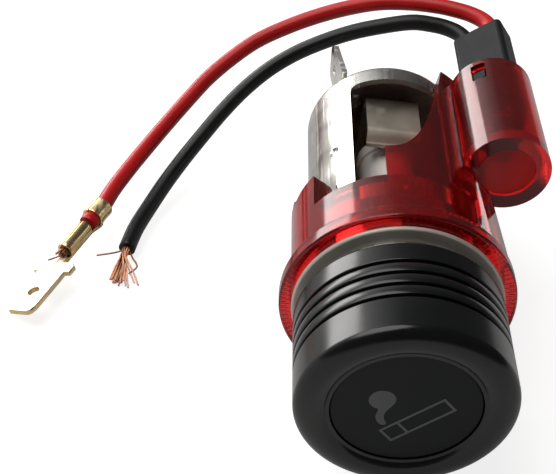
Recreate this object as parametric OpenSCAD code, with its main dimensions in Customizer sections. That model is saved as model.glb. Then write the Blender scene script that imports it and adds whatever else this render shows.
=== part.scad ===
// Car 12 V lighter socket with an illuminated ring, a lamp holder on two leads and its lighter plug.
// Millimetres. The socket's axis is Y: the knob faces -Y and the terminals face +Y. Z is up.
// The origin is on the axis, in the plane of the light ring's rear face, which sits on the dashboard panel.

/* [Socket shell] */
// Bore of the nickel-plated shell
bore_d = 21.2; // [20.9:0.1:21.5]
// Sheet thickness of the shell
shell_wall = 0.8; // [0.6:0.1:1.0]
// Distance from the panel plane to the shell's closed rear end
shell_back = 37.6; // [34:0.2:44]
// Outer radius of the rounded rear corner
shell_corner_r = 1.8; // [1.4:0.1:2.4]
// Diameter of the rolled lip at the mouth
lip_d = 27.6; // [26.4:0.2:28.6]
// Thickness of the lip
lip_t = 0.7; // [0.5:0.1:1]
// Width of the window in the top of the shell
window_w = 13.3; // [11:0.1:14]
// Front end of the window behind the panel plane
window_front = 5.4; // [4:0.2:6.4]
// Rear end of the window behind the panel plane
window_back = 33.4; // [31.4:0.2:33.8]
// Corner radius of the window
window_r = 1.4; // [1:0.1:2]
// Distance of the dimples behind the panel plane
dimple_y = 20; // [18:0.5:22]

/* [Light ring] */
// Diameter of the ring's flange
ring_d = 30.8; // [30:0.1:32]
// Thickness of the flange
ring_t = 2.2; // [1.8:0.1:2.6]
// Outer diameter of the skirt, which passes through the panel
skirt_d = 27.6; // [27:0.1:28.4]
// Running gap between the ring and the shell
ring_gap = 0.1; // [0.05:0.05:0.2]
// Height of the low part of the skirt
low_wall = 7.9; // [7:0.1:9]
// Height of the tall part of the skirt on the left
high_wall = 15; // [12:0.5:18]
// Height of the riser's shoulder
riser_shoulder = 14.1; // [13:0.1:15]
// Height of the riser's tip
riser_tip = 35.2; // [33.4:0.2:36]

/* [Lamp housing] */
// Distance from the socket's axis to the lamp's axis
lamp_offset = 17.8; // [17.6:0.1:18.4]
// Angle of the lamp from straight up, towards +X
lamp_angle = 50; // [44:1:56]
// Outer diameter of the lamp tube
lamp_d = 11.9; // [11.6:0.1:12.2]
// Bore of the lamp tube
lamp_bore_d = 9.8; // [9.4:0.1:10]
// Front face of the lamp tube behind the panel plane
lamp_front = 13.6; // [12.6:0.2:14.6]
// Rear face of the lamp tube behind the panel plane
lamp_back = 32.7; // [31:0.1:34]
// Diameter of the round recess in the lamp tube's front
recess_d = 7.8; // [7:0.1:8.4]
// Depth of that recess
recess_depth = 1.2; // [0.8:0.1:1.6]
// Thickness of the lamp tube's front wall
lamp_wall = 1.2; // [1:0.1:1.6]

/* [Bulb holder] */
// Width of the holder's body, measured away from the socket
holder_w = 7.9; // [7.6:0.1:8.2]
// Thickness of the holder's body
holder_t = 4.8; // [4.4:0.1:5.2]
// Rear end of the holder behind the panel plane
holder_back = 46.5; // [44:0.5:49]
// Length of the round spigot inside the lamp tube
spigot_l = 7; // [6:0.5:8]
// Clearance between the spigot and the tube
spigot_gap = 0.1; // [0.05:0.05:0.2]
// Diameter of the bulb's glass
bulb_d = 4.6; // [4:0.1:5]
// Length of the bulb's glass in front of the holder
bulb_l = 8; // [7:0.5:8.5]

/* [Terminals] */
// Width of the blade terminals
blade_w = 6.3; // [4.8:0.1:6.3]
// Thickness of the blade terminals
blade_t = 0.8; // [0.6:0.1:1]
// How far the two rear blades stand out behind the shell
blade_l = 8.2; // [7:0.2:10]
// Width of the contact clip
clip_w = 7.8; // [6.6:0.1:8.6]
// Sheet thickness of the contact clip
clip_t = 0.5; // [0.4:0.05:0.6]
// Distance from the axis to the outer face of each clip arm
clip_reach = 7.2; // [6.8:0.1:7.6]
// Length of the clip arms in front of the shell's end wall
clip_l = 12.4; // [11.5:0.1:13.5]
// Diameter of the centre rivet's shank
rivet_d = 3; // [2.4:0.1:3.2]

/* [Plug] */
// Diameter of the knob
knob_d = 27.1; // [26:0.1:27.5]
// Front rim of the knob, in front of the panel plane
knob_front = 20.5; // [19.5:0.1:22]
// Rear edge of the knob, in front of the panel plane
knob_rear = 5; // [4.9:0.1:5.4]
// Radius of the knob's round front rim, which falls back to the disc on its inner side
knob_round = 2.8; // [2.4:0.1:3.2]
// Wall of the knob's hollow body
knob_wall = 1.3; // [1:0.1:1.6]
// Width of each groove round the knob
groove_w = 0.55; // [0.4:0.05:0.7]
// Depth of each groove
groove_depth = 0.5; // [0.3:0.05:0.7]
// Spacing of the grooves
groove_pitch = 1.95; // [1.6:0.05:2]
// Diameter of the disc in the knob's front
disc_d = 18.3; // [17:0.1:18.6]
// Depth of the disc's face behind the knob's rim
disc_sink = 0.9; // [0.6:0.1:1.2]
// Thickness of the disc
disc_t = 1.2; // [1:0.1:1.5]
// Gap between the plug's sleeve and the shell's bore
sleeve_gap = 0.3; // [0.2:0.05:0.4]
// Length of the plug's sleeve behind the panel plane
sleeve_l = 11; // [9:0.5:12]
// Sheet thickness of the sleeve
sleeve_wall = 0.6; // [0.5:0.1:0.8]
// Diameter of the spindle
spindle_d = 3; // [2.6:0.1:3.2]
// Diameter of the heating cup's body
cup_d = 7.8; // [7:0.1:8.2]
// Diameter of the cup's rim
cup_rim_d = 8.6; // [8.4:0.1:9]
// Front end of the cup behind the panel plane
cup_front = 15; // [13:0.5:17]
// Rear end of the cup behind the panel plane
cup_back = 28.6; // [26:0.1:30]
// Mean diameter of the return spring
spring_d = 9; // [8.6:0.1:10]
// Wire of the return spring
spring_wire = 0.7; // [0.5:0.05:0.9]

/* [Leads] */
// Outer diameter of the two leads
lead_d = 2.5; // [2.2:0.1:2.6]
// Length of the crimp terminal on the red lead, from its first crimp to its tip
tab_l = 23.1; // [22:0.1:24]
// Width of that terminal's blade
tab_w = 4.8; // [4.8:0.1:6.3]

/* [Hidden] */
$fn = 64;
eps = 0.01;

// Shell
bore_r = bore_d / 2;
shell_r = bore_r + shell_wall;
wall_inside = shell_back - shell_wall;
lip_front = -ring_t - lip_t;
end_hole_r = rivet_d / 2 + 1.6;
window_angle = asin(window_w / 2 / shell_r);
tang_h = 1;
tang_l = 4.6;
tang_angle = -53.5;
tang_half = 3.5;
dimple_angle = -51.7;
dimple_r = 1.3;
dimple_sink = 0.35;

// Light ring
ring_bore_r = shell_r + ring_gap;
skirt_r = skirt_d / 2;
ring_round = 0.4;
riser_from = -14;
riser_step = 21.5;
riser_tip_angle = 26.8;
riser_side = -2.6;
riser_curve = 2.4;
step_t = 0.4;
step_drop = 0.5;
high_from = -150;
high_to = -59.3;
gusset_w = 5;
gusset_in = 0.4;
ring_stock = 0.5;

// Lamp housing and holder, in the lamp's own frame: its local z points away from the socket
lamp_r = lamp_d / 2;
lamp_bore_r = lamp_bore_d / 2;
lens_back = lamp_front + recess_depth + lamp_wall;
slot_w = 2.1;
slot_back = lamp_back - 0.9;
slot_front = slot_back - 3.5;
slot_shift = 0.7;
spigot_r = lamp_bore_r - spigot_gap;
spigot_front = lamp_back - spigot_l;
holder_in = 3.5;
holder_out = holder_w - holder_in;
holder_round = 0.8;
red_hole = 2.3;
black_hole = -1.8;
lead_hole_r = lead_d / 2 + 0.17;
lead_hole_depth = 1.5;
lead_seat = holder_back - lead_hole_depth;
wedge_w = 4;
wedge_t = 1.8;
wedge_l = 5;
wedge_gap = 0.05;
leaf_t = 0.4;
leaf_w = 2.4;

// Rear terminals and centre contact
washer_t = 0.8;
neck_r = end_hole_r - 0.1;
outer_washer_r = neck_r + 1;
inner_washer_r = neck_r + 2.4;
tab_face = shell_back + washer_t;
rivet_r = rivet_d / 2;
rivet_head_r = rivet_r + 1.4;
rivet_head_t = 0.9;
inner_washer_t = 1.8;
clip_face = wall_inside - inner_washer_t;
clip_tip = wall_inside - clip_l;
clip_bend = 1.2;
live_drop = rivet_head_r + 2.3;
earth_out = -7.6;
earth_low = 2.6;
earth_foot_h = 4;
earth_splay = 9.5;
earth_lean = 5;
small_rivet_r = 0.7;
small_head_r = small_rivet_r + 0.6;
small_head_t = 0.5;
earth_rivet_z = earth_low + earth_foot_h / 2;
earth_rivet_x = earth_out + blade_t + (earth_low + blade_w - earth_rivet_z) * tan(earth_lean) + small_head_r + 0.05;
earth_in = earth_rivet_x + small_head_r + 0.3;

// Plug
knob_r = knob_d / 2;
knob_cavity_r = knob_r - knob_wall;
disc_face = -(knob_front - disc_sink);
disc_back = disc_face + disc_t;
disc_seat_r = disc_d / 2 + 0.05;
rim_edge = 0.2;
knob_front_wall = 1.9;
cavity_front = disc_back + knob_front_wall;
first_groove = -(knob_rear + 3.31);
boss_r = 3.1;
boss_end = cavity_front + 6.5;
sleeve_r = bore_r - sleeve_gap;
sleeve_flange_r = knob_cavity_r - 0.35;
sleeve_flange_t = 0.5;
partition_y = 4;
partition_t = 0.8;
pip_r = 1;
pip_gap = 0.05;
spindle_r = spindle_d / 2;
spindle_gap = 0.08;
fit = 0.02;
stop_r = 3.4;
stop_t = 0.8;
stop_y = partition_y + partition_t + 0.05;
bush_r = 2.7;
cup_r = cup_d / 2;
rim_r = cup_rim_d / 2;
cup_wall = 0.35;
cup_base_t = 0.8;
rim_l = 2.2;
ceramic_t = 2;
ceramic_back = cup_back - 1.7;
coil_back = cup_back - 0.3;
coil_turns = 3;
coil_t = 0.32;
coil_in = 0.9;
pin_r = 0.55;
spring_turns = 7;
spring_steps = 12;

// Disc symbol, in the disc's plane: the usual lit cigarette with a curl of smoke
symbol_t = 0.3;
symbol_turn = 44.8;
symbol_l = 9.5;
symbol_w = 2.6;
symbol_line = 0.34;
symbol_x = 1.67;
symbol_z = -1.8;
filter_l = 2.6;
smoke_x = -3.12;
smoke_z = 1.22;
smoke_r = 1.62;
smoke_points = concat([for (a = [-15 : 11 : 260]) [smoke_x + smoke_r * cos(a), smoke_z + smoke_r * sin(a)]],
    [[-3.3, -0.75], [-3.43, -1.3], [-3.42, -1.9], [-3.2, -2.5], [-2.85, -2.95], [-2.4, -3.2], [-2, -3.1],
    [-1.95, -2.75], [-2.22, -2.35], [-2.42, -1.8], [-2.45, -1.2], [-2.3, -0.6], [-2.05, -0.2], [-1.8, 0.3]]);

// Leads: the middle of each one, from its seat in the holder to the end of its insulation
lead_sides = 8;
red_route = [[15.4, 45, 12.9], [15.4, 47.8, 12.9], [14.6, 50.3, 12.9], [12.7, 52.4, 12.7],
    [10.2, 53.9, 12.4], [7.5, 55.1, 12], [3.7, 56.5, 11.2], [-1.1, 58, 9.7], [-5.8, 59.2, 7.4],
    [-10.5, 59.9, 4.8], [-15.3, 59.6, 2.2], [-19.9, 58.5, -0.4], [-23.8, 56.2, -2.9],
    [-27.3, 52.9, -5.1], [-30.2, 48.8, -7], [-33, 44.1, -8.6], [-35.5, 39.3, -9.8], [-37.8, 34.1, -10.5],
    [-39.8, 28.9, -11], [-41, 24.4, -11], [-42.69, 20.51, -11.36]];
black_route = [[12.3, 45, 10.3], [12.2, 47.5, 10.4], [11.1, 49.7, 10.5], [9.3, 51.1, 10.5],
    [6.9, 51.9, 10.4], [3.7, 52.5, 10], [-0.6, 52.9, 8.5], [-5.1, 53.3, 6.5], [-9.6, 53.4, 4],
    [-13.9, 53, 1.3], [-17.8, 51.8, -1.5], [-21.4, 49.4, -4.3], [-24.5, 46.1, -6.8], [-27.2, 42.1, -8.8],
    [-29.8, 37.8, -10.6], [-32.1, 33.2, -12], [-34.1, 28.3, -13.1], [-35.7, 23.4, -13.6],
    [-36.6, 18.8, -13.9]];

// Tab terminal: its local x carries on the red lead's last stretch to the tip, its local z is the blade's face
red_end = red_route[len(red_route) - 1];
tab_dir = (red_end - red_route[len(red_route) - 2]) / norm(red_end - red_route[len(red_route) - 2]);
lead_in_tab = 4.4;
tab_at = red_end - lead_in_tab * tab_dir;
tab_yaw = atan2(tab_dir.y, tab_dir.x);
tab_pitch = -asin(tab_dir.z);
tab_roll = 25;
crimp_t = 0.4;
crimp_gap = 0.03;
big_crimp_r = lead_d / 2 + crimp_gap + crimp_t;
big_crimp_l = 3;
core_r = 0.75;
small_crimp_r = core_r + crimp_gap + crimp_t;
small_crimp_at = 5;
small_crimp_l = 5.6;
strip_w = 1.8;
seam_w = 0.3;
shoulder_at = 12.6;
shoulder_w = tab_w + 1.8;
shoulder_l = 2;
blade_hole_r = 0.85;
blade_hole_back = 4.1;
strand_r = 0.14;

// Black strands: the far end of each one
black_end = black_route[len(black_route) - 1];
black_tips = [[-36.4, 13, -14.9], [-36.8, 12.4, -14.8], [-37.2, 12.7, -15], [-37.7, 12.3, -14.9],
    [-38.1, 12.9, -14.8], [-38.4, 13.2, -15.1], [-36, 12.2, -15.1], [-34.8, 12.9, -15], [-34.2, 12.6, -15.1],
    [-40.8, 17.1, -14.2], [-35.6, 11.9, -15.1]];
hook_points = [[-36.2, 17.4, -14], [-35.1, 16.4, -14], [-34.8, 15.4, -14.1], [-35.8, 14.3, -14.6]];
stray_tip = [-47.2, 12.9, -12.2];

// Turns a profile of [radius, y] points round the socket's axis
module turned() rotate([-90, 0, 0]) rotate_extrude() children();

// The same over part of a turn, from one angle to another, measured from straight up towards +X
module sector(from, to) rotate([-90, 0, 0]) rotate([0, 0, from - 90]) rotate_extrude(angle = to - from) children();

// Extrudes a shape drawn in x and z from one y to another
module slab(y0, y1) translate([0, y1, 0]) rotate([90, 0, 0]) linear_extrude(y1 - y0) children();

// A rod along y
module rod(r, y0, y1, sides = 64) translate([0, y0, 0]) rotate([-90, 0, 0]) cylinder(r = r, h = y1 - y0, $fn = sides);

// A band of a profile: from radius r0 to r1 and from y0 to y1
module band(r0, r1, y0, y1) translate([r0, y0]) square([r1 - r0, y1 - y0]);

// A flat shape with rounded corners, centred
module soft_rect(w, h, r) {
    square([w - 2 * r, h], center = true);
    square([w, h - 2 * r], center = true);
    for (x = [-1, 1], y = [-1, 1]) translate([x * (w / 2 - r), y * (h / 2 - r)]) circle(r, $fn = 32);
}

// A cylinder between two points
module strand(from, to, r, sides = 16) {
    d = to - from;
    h = norm(d);
    translate(from) rotate([0, acos(d.z / h), atan2(d.y, d.x)]) cylinder(r = r, h = h, $fn = sides);
}

// Puts things in the lamp's own frame
module at_lamp() rotate([0, lamp_angle, 0]) translate([0, 0, lamp_offset]) children();

// The cup shape of the shell: a filled body with a rounded rear corner
module cup_profile(r, back, corner) {
    band(0, r, lip_front, back - corner);
    band(0, r - corner, back - corner - eps, back);
    intersection() {
        translate([r - corner, back - corner]) circle(corner);
        band(r - corner, r, back - corner, back);
    }
}

// Deep-drawn nickel-plated shell with its rolled lip, window, locking tangs and two dimples
module socket_shell() color("gainsboro") difference() {
    union() {
        turned() {
            cup_profile(shell_r, shell_back, shell_corner_r);
            band(shell_r - shell_wall / 2, lip_d / 2 - lip_t / 2, lip_front, lip_front + lip_t);
            translate([lip_d / 2 - lip_t / 2, lip_front + lip_t / 2]) circle(lip_t / 2, $fn = 24);
        }
        for (a = [tang_angle, tang_angle + 180]) sector(a - tang_half, a + tang_half)
            polygon([[shell_r - shell_wall / 2, low_wall], [shell_r + tang_h, low_wall],
                [shell_r, low_wall + tang_l], [shell_r - shell_wall / 2, low_wall + tang_l]]);
    }
    turned() {
        cup_profile(bore_r, wall_inside, shell_corner_r - shell_wall);
        band(0, bore_r, lip_front - 1, lip_front + eps);
        polygon([[bore_r - eps, lip_front - eps], [bore_r + 0.6, lip_front - eps], [bore_r - eps, lip_front + 0.6]]);
    }
    rod(end_hole_r, wall_inside - 1, shell_back + 1);
    translate([0, (window_front + window_back) / 2, bore_r / 4]) linear_extrude(shell_r)
        soft_rect(window_w, window_back - window_front, window_r);
    for (a = [dimple_angle, dimple_angle + 180]) rotate([0, a, 0])
        translate([0, dimple_y, shell_r + dimple_r - dimple_sink]) sphere(dimple_r, $fn = 32);
    at_earth_foot() rod(small_rivet_r + fit, wall_inside - 1, shell_back + 1, 32);
}

module at_earth_foot() translate([earth_rivet_x, 0, earth_rivet_z]) children();

// Earth terminal: a foot on the shell's end wall and a blade that stands out behind it
module earth_tab() color("silver") difference() {
    union() {
        translate([earth_out, shell_back, earth_low]) cube([earth_in - earth_out, blade_t, earth_foot_h]);
        translate([earth_out, shell_back, earth_low + blade_w]) rotate([0, -earth_lean, earth_splay])
            translate([0, 0, -blade_w]) blade_plate(blade_l, blade_w);
    }
    at_earth_foot() rod(small_rivet_r + fit, shell_back - 1, shell_back + blade_t + 1, 32);
    translate([earth_out - 2, shell_back - 2, earth_low - 1]) cube([4, 2, blade_w + 2]);
}

// A blade with a clipped end: its thickness lies along x, its length along y and its width along z
module blade_plate(l, w) difference() {
    translate([blade_t, 0, 0]) rotate([0, -90, 0]) linear_extrude(blade_t)
        polygon([[0, 0], [w, 0], [w, l - 1.2], [w - 1, l], [1, l], [0, l - 1.2]]);
    translate([-1, l - 3, w / 2]) rotate([0, 90, 0]) cylinder(r = blade_hole_r, h = blade_t + 2, $fn = 32);
}

module earth_rivet() color("silver") at_earth_foot() {
    rod(small_rivet_r, wall_inside, shell_back + blade_t, 32);
    rod(small_head_r, wall_inside - small_head_t, wall_inside, 32);
    rod(small_head_r, shell_back + blade_t, shell_back + blade_t + small_head_t, 32);
}

// Live terminal: a foot under the centre rivet's head and a blade below the axis
module live_tab() color("silver") difference() {
    union() {
        rod(rivet_head_r + 0.4, tab_face, tab_face + blade_t);
        slab(tab_face, tab_face + blade_t) translate([-blade_w / 2, -live_drop - blade_t]) square([blade_w, live_drop + blade_t]);
        translate([-blade_w / 2, tab_face, -live_drop]) rotate([0, 90, 0]) blade_plate(blade_l - washer_t, blade_w);
    }
    rod(rivet_r + fit, tab_face - 1, tab_face + blade_t + 1);
}

module outer_insulator() color("sienna") turned() band(neck_r + fit, outer_washer_r, shell_back, tab_face);

module inner_insulator() color("sienna") turned() {
    band(rivet_r + fit, inner_washer_r, clip_face, wall_inside);
    band(rivet_r + fit, neck_r, wall_inside - eps, tab_face);
}

module centre_rivet() color("goldenrod") turned() {
    band(0, rivet_r, clip_face - clip_t - eps, tab_face + blade_t + eps);
    band(0, rivet_head_r, clip_face - clip_t - rivet_head_t, clip_face - clip_t);
    band(0, rivet_head_r, tab_face + blade_t, tab_face + blade_t + rivet_head_t);
}

// Spring-bronze clip that the heating cup enters: a plate on the rivet and two arms with curled tips
module contact_clip() color("darkkhaki") difference() {
    rotate([90, 0, 90]) translate([0, 0, -clip_w / 2]) linear_extrude(clip_w) {
        translate([clip_face - clip_t, -clip_reach + clip_bend]) square([clip_t, 2 * (clip_reach - clip_bend)]);
        for (m = [0, 1]) mirror([0, m]) {
            translate([clip_face - clip_bend, clip_reach - clip_bend]) intersection() {
                difference() {
                    circle(clip_bend, $fn = 32);
                    circle(clip_bend - clip_t, $fn = 32);
                }
                square(clip_bend);
            }
            translate([clip_tip + 2.6, clip_reach - clip_t]) square([clip_face - clip_bend - clip_tip - 2.6, clip_t]);
            polygon([[clip_tip + 2.6, clip_reach], [clip_tip + 1.6, clip_reach - 0.4], [clip_tip + 0.7, clip_reach - 1.4],
                [clip_tip, clip_reach - 0.9], [clip_tip, clip_reach - 1.6], [clip_tip + 0.6, clip_reach - 2.2],
                [clip_tip + 1.1, clip_reach - 2.1], [clip_tip + 1.9, clip_reach - 0.95], [clip_tip + 2.6, clip_reach - clip_t]]);
        }
    }
    rod(rivet_r + fit, clip_face - 2, clip_face + 1);
}

// The riser's sloping edge, as a height for a distance round the skirt
function riser_height(u, u0, u1) = riser_shoulder + (riser_tip - riser_shoulder) * pow((u - u0) / (u1 - u0), riser_curve);

// What is cut away above the riser's edge, looking along the radius at its middle
module riser_cut() {
    mid = (riser_from + riser_tip_angle) / 2;
    u0 = skirt_r * sin(riser_from + 5 - mid);
    u1 = skirt_r * sin(riser_tip_angle - mid);
    edge = [for (i = [0:12]) let (u = u0 + (u1 - u0) * i / 12) [u, riser_height(u, u0, u1)]];
    rotate([0, mid, 0]) linear_extrude(3 * skirt_r)
        polygon(concat([[-skirt_r, riser_tip + 5], [-skirt_r, riser_shoulder], [u0, riser_shoulder]],
            edge, [[u1, riser_tip + 5]]));
}

// What is cut away above a low part of the skirt, between two angles and from one height on
module skirt_cut(from, to, y) {
    rim = [for (i = [0:4]) let (a = from + (to - from) * i / 4) 3 * skirt_r * [sin(a), cos(a)]];
    slab(y, riser_tip + 1) polygon(concat(rim, [skirt_r / 2 * [sin(to), cos(to)], skirt_r / 2 * [sin(from), cos(from)]]));
}

// Red translucent ring: flange, skirt, tall light-guide walls, lamp housing and its gusset in one moulding
module light_ring() color("firebrick", 0.8) difference() {
    union() {
        turned() {
            band(ring_bore_r - ring_stock, ring_d / 2 - ring_round, -ring_t, 0);
            band(ring_bore_r - ring_stock, ring_d / 2, -ring_t + ring_round, -ring_round);
            for (y = [-ring_t + ring_round, -ring_round]) translate([ring_d / 2 - ring_round, y]) circle(ring_round, $fn = 24);
        }
        difference() {
            union() {
                rod(skirt_r, -ring_t / 2, riser_tip);
                sector(riser_step, lamp_angle) band(ring_bore_r - 2 * ring_stock, skirt_r + step_t, low_wall, riser_tip - step_drop);
            }
            skirt_cut(high_to, riser_from, low_wall);
            skirt_cut(lamp_angle + 14, 360 + high_from, low_wall);
            skirt_cut(high_from - 1, high_to + 1, high_wall);
            riser_cut();
            at_lamp() translate([riser_side, lamp_back, -lamp_offset]) cube([2 * skirt_r, riser_tip, 2 * skirt_r]);
        }
        at_lamp() rod(lamp_r, lamp_front, lamp_back);
        rotate([0, lamp_angle, 0]) translate([-gusset_w / 2, 0, 0]) rotate([90, 0, 90]) linear_extrude(gusset_w)
            polygon([[-ring_t / 2, ring_bore_r - ring_stock], [-ring_t / 2, ring_d / 2 - ring_round],
                [0, ring_d / 2 - gusset_in], [lamp_front + 1, skirt_r + gusset_in], [lamp_front + 1, ring_bore_r - ring_stock]]);
    }
    rod(ring_bore_r, -ring_t - 1, riser_tip + 1);
    at_lamp() {
        rod(recess_d / 2, lamp_front - 1, lamp_front + recess_depth);
        rod(lamp_bore_r, lens_back, riser_tip + 1);
        translate([-lamp_r - 1, slot_front, slot_shift - slot_w / 2]) cube([lamp_r - lamp_bore_r + 2, slot_back - slot_front, slot_w]);
    }
}

// Bulb holder: a flat body with soft edges, a round spigot with a latch nub, and pockets for bulb and contacts
module bulb_holder() color("dimgray") at_lamp() difference() {
    union() {
        slab(lamp_back - 1, holder_back) translate([0, (holder_out - holder_in) / 2]) soft_rect(holder_t, holder_w, holder_round);
        rod(spigot_r, spigot_front, lamp_back - 0.7);
        translate([-lamp_r + 0.2, slot_front + 0.2, slot_shift - slot_w / 2 + 0.2])
            cube([lamp_r - lamp_bore_r + 1.4, 1.6, slot_w - 0.4]);
    }
    for (z = [red_hole, black_hole]) translate([0, 0, z]) rod(lead_hole_r, lead_seat, holder_back + 1, 32);
    slab(spigot_front - 1, spigot_front + wedge_l + wedge_gap) square([wedge_t + 2 * wedge_gap, wedge_w + 2 * wedge_gap], center = true);
    for (z = [red_hole, black_hole]) leaf(z, wedge_gap);
}

// The room that a contact leaf takes, beside the bulb's wedge and on to the end of its lead
module leaf(z, gap) {
    side = sign(z);
    z0 = side * wedge_w / 2;
    slab(spigot_front + 0.5 - gap, lead_seat - wedge_gap + gap)
        translate([-leaf_w / 2 - gap, min(z0, z0 + side * leaf_t) - gap]) square([leaf_w + 2 * gap, leaf_t + 2 * gap]);
}

module lamp_contact_red() color("peru") at_lamp() leaf(red_hole, 0);

module lamp_contact_black() color("peru") at_lamp() leaf(black_hole, 0);

// Wedge bulb: a round glass with a domed tip and a flat pressed base
module bulb() color("whitesmoke", 0.6) at_lamp() {
    rod(bulb_d / 2, spigot_front - bulb_l + bulb_d / 2, spigot_front - 0.2, 48);
    translate([0, spigot_front - bulb_l + bulb_d / 2, 0]) sphere(bulb_d / 2, $fn = 48);
    slab(spigot_front - 0.6, spigot_front + wedge_l) square([wedge_t, wedge_w], center = true);
}

// A tube swept along a route, with a ring of points square to it at each of its points
module lead_tube(route, r, sides) {
    n = len(route);
    along = [for (i = [0 : n - 1]) let (d = route[min(i + 1, n - 1)] - route[max(i - 1, 0)]) d / norm(d)];
    side = [for (t = along) let (c = cross(t, [0, 0, 1])) c / norm(c)];
    points = [for (i = [0 : n - 1], k = [0 : sides - 1]) let (a = 360 * k / sides, up = cross(side[i], along[i]))
        route[i] + r * (cos(a) * side[i] + sin(a) * up)];
    faces = concat([[for (k = [0 : sides - 1]) k]],
        [for (i = [0 : n - 2], k = [0 : sides - 1]) let (a = i * sides, m = (k + 1) % sides) [a + k, a + sides + k, a + sides + m, a + m]],
        [[for (k = [sides - 1 : -1 : 0]) (n - 1) * sides + k]]);
    polyhedron(points, faces);
}

module red_lead() color("firebrick") lead_tube(red_route, lead_d / 2, lead_sides);

module black_lead() color("#202224") lead_tube(black_route, lead_d / 2, lead_sides);

// Puts things in the tab terminal's own frame
module at_tab() translate(tab_at) rotate([tab_roll, tab_pitch, tab_yaw]) children();

// A short tube along the terminal's own x
module tab_tube(r, wall, x0, x1) translate([x0, 0, 0]) rotate([0, 90, 0]) difference() {
    cylinder(r = r, h = x1 - x0, $fn = 32);
    translate([0, 0, -1]) cylinder(r = r - wall, h = x1 - x0 + 2, $fn = 32);
}

// Brass crimp terminal: a big crimp on the insulation, a small one on the core, and a blade with shoulders
module tab_terminal() color("gold") at_tab() difference() {
    union() {
        tab_tube(big_crimp_r, crimp_t, 0, big_crimp_l);
        tab_tube(small_crimp_r, crimp_t, small_crimp_at, small_crimp_at + small_crimp_l);
        rotate([90, 0, 0]) linear_extrude(strip_w, center = true) polygon([
            [big_crimp_l - 0.8, -big_crimp_r], [big_crimp_l, -big_crimp_r], [small_crimp_at, -small_crimp_r],
            [shoulder_at + 0.5, -small_crimp_r], [shoulder_at + 0.5, crimp_t - small_crimp_r],
            [small_crimp_at, crimp_t - small_crimp_r], [big_crimp_l, crimp_t - big_crimp_r],
            [big_crimp_l - 0.8, crimp_t - big_crimp_r]]);
        translate([0, 0, -small_crimp_r]) linear_extrude(blade_t) polygon([
            [shoulder_at, -shoulder_w / 2 + 0.6], [shoulder_at + 0.6, -shoulder_w / 2], [shoulder_at + shoulder_l, -shoulder_w / 2],
            [shoulder_at + shoulder_l, -tab_w / 2], [tab_l - 2.2, -tab_w / 2], [tab_l, -tab_w / 2 + 1.5],
            [tab_l, tab_w / 2 - 1.5], [tab_l - 2.2, tab_w / 2], [shoulder_at + shoulder_l, tab_w / 2],
            [shoulder_at + shoulder_l, shoulder_w / 2], [shoulder_at + 0.6, shoulder_w / 2], [shoulder_at, shoulder_w / 2 - 0.6]]);
    }
    translate([tab_l - blade_hole_back, 0, -small_crimp_r - 1]) cylinder(r = blade_hole_r, h = blade_t + 2, $fn = 32);
    translate([-1, -seam_w / 2, 0]) cube([shoulder_at, seam_w, 2 * big_crimp_r]);
}

// Copper core of the red lead, bared in the small crimp, with one stray strand
module red_strands() color("chocolate") {
    at_tab() translate([lead_in_tab, 0, 0]) rotate([0, 90, 0])
        cylinder(r = core_r, h = small_crimp_at + small_crimp_l + 1.3 - lead_in_tab, $fn = 16);
    strand(tab_point(small_crimp_at + small_crimp_l + 1.2), stray_tip, strand_r, 8);
}

// A point on the terminal's own axis
function tab_point(x) = tab_at + x * tab_dir;

// Bare copper strands of the black lead, splayed, with one hooked back
module black_strands() color("chocolate") {
    root = black_end + [-0.05, -0.4, 0];
    strand(black_end + [-0.01, -0.06, 0], black_end + [-0.3, -1.6, -0.2], 0.7);
    for (tip = black_tips) strand(root, tip, strand_r, 8);
    for (i = [0 : len(hook_points) - 2]) strand(hook_points[i], hook_points[i + 1], strand_r, 8);
    for (p = hook_points) translate(p) sphere(strand_r, $fn = 13);
}

// Nickel-plated sleeve of the plug, with a front flange, a partition for the spindle and three guiding pips
module plug_sleeve() color("silver") {
    turned() {
        band(sleeve_r - sleeve_wall, sleeve_r, lip_front - sleeve_flange_t, sleeve_l);
        band(sleeve_r - sleeve_wall, sleeve_flange_r, lip_front - sleeve_flange_t, lip_front);
        band(spindle_r + spindle_gap, sleeve_r - sleeve_wall + eps, partition_y, partition_y + partition_t);
    }
    for (a = [0 : 120 : 240]) rotate([0, a, 0]) difference() {
        translate([0, sleeve_l - 2.5, bore_r - pip_gap - pip_r]) sphere(pip_r, $fn = 32);
        rod(sleeve_r - sleeve_wall / 2, 0, sleeve_l + 2);
    }
}

// Height of the spring's wire after t turns: the first and the last turn are closed
function spring_y(t, total) = t < 1 ? spring_wire * t
    : t > spring_turns - 1 ? total - spring_wire * (spring_turns - t)
    : spring_wire + (total - 2 * spring_wire) * (t - 1) / (spring_turns - 2);

// Return spring between the knob and the sleeve's partition, with a closed turn at each end
module return_spring() color("lightsteelblue") {
    y0 = cavity_front + spring_wire / 2;
    y1 = partition_y - spring_wire / 2;
    n = spring_turns * spring_steps;
    route = [for (i = [0 : n]) let (t = i / spring_steps)
        [spring_d / 2 * sin(360 * t), y0 + spring_y(t, y1 - y0), spring_d / 2 * cos(360 * t)]];
    coil_tube(route, spring_wire / 2 * 0.98, 6);
}

// A tube round the y axis, with each ring of points in the plane through that axis
module coil_tube(route, r, sides) {
    n = len(route);
    points = [for (p = route, k = [0 : sides - 1]) let (a = 360 * k / sides, out = [p.x, 0, p.z] / norm([p.x, 0, p.z]))
        p + r * (cos(a) * out + sin(a) * [0, 1, 0])];
    faces = concat([[for (k = [sides - 1 : -1 : 0]) k]],
        [for (i = [0 : n - 2], k = [0 : sides - 1]) let (a = i * sides, m = (k + 1) % sides) [a + m, a + sides + m, a + sides + k, a + k]],
        [[for (k = [0 : sides - 1]) (n - 1) * sides + k]]);
    polyhedron(points, faces);
}

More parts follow.
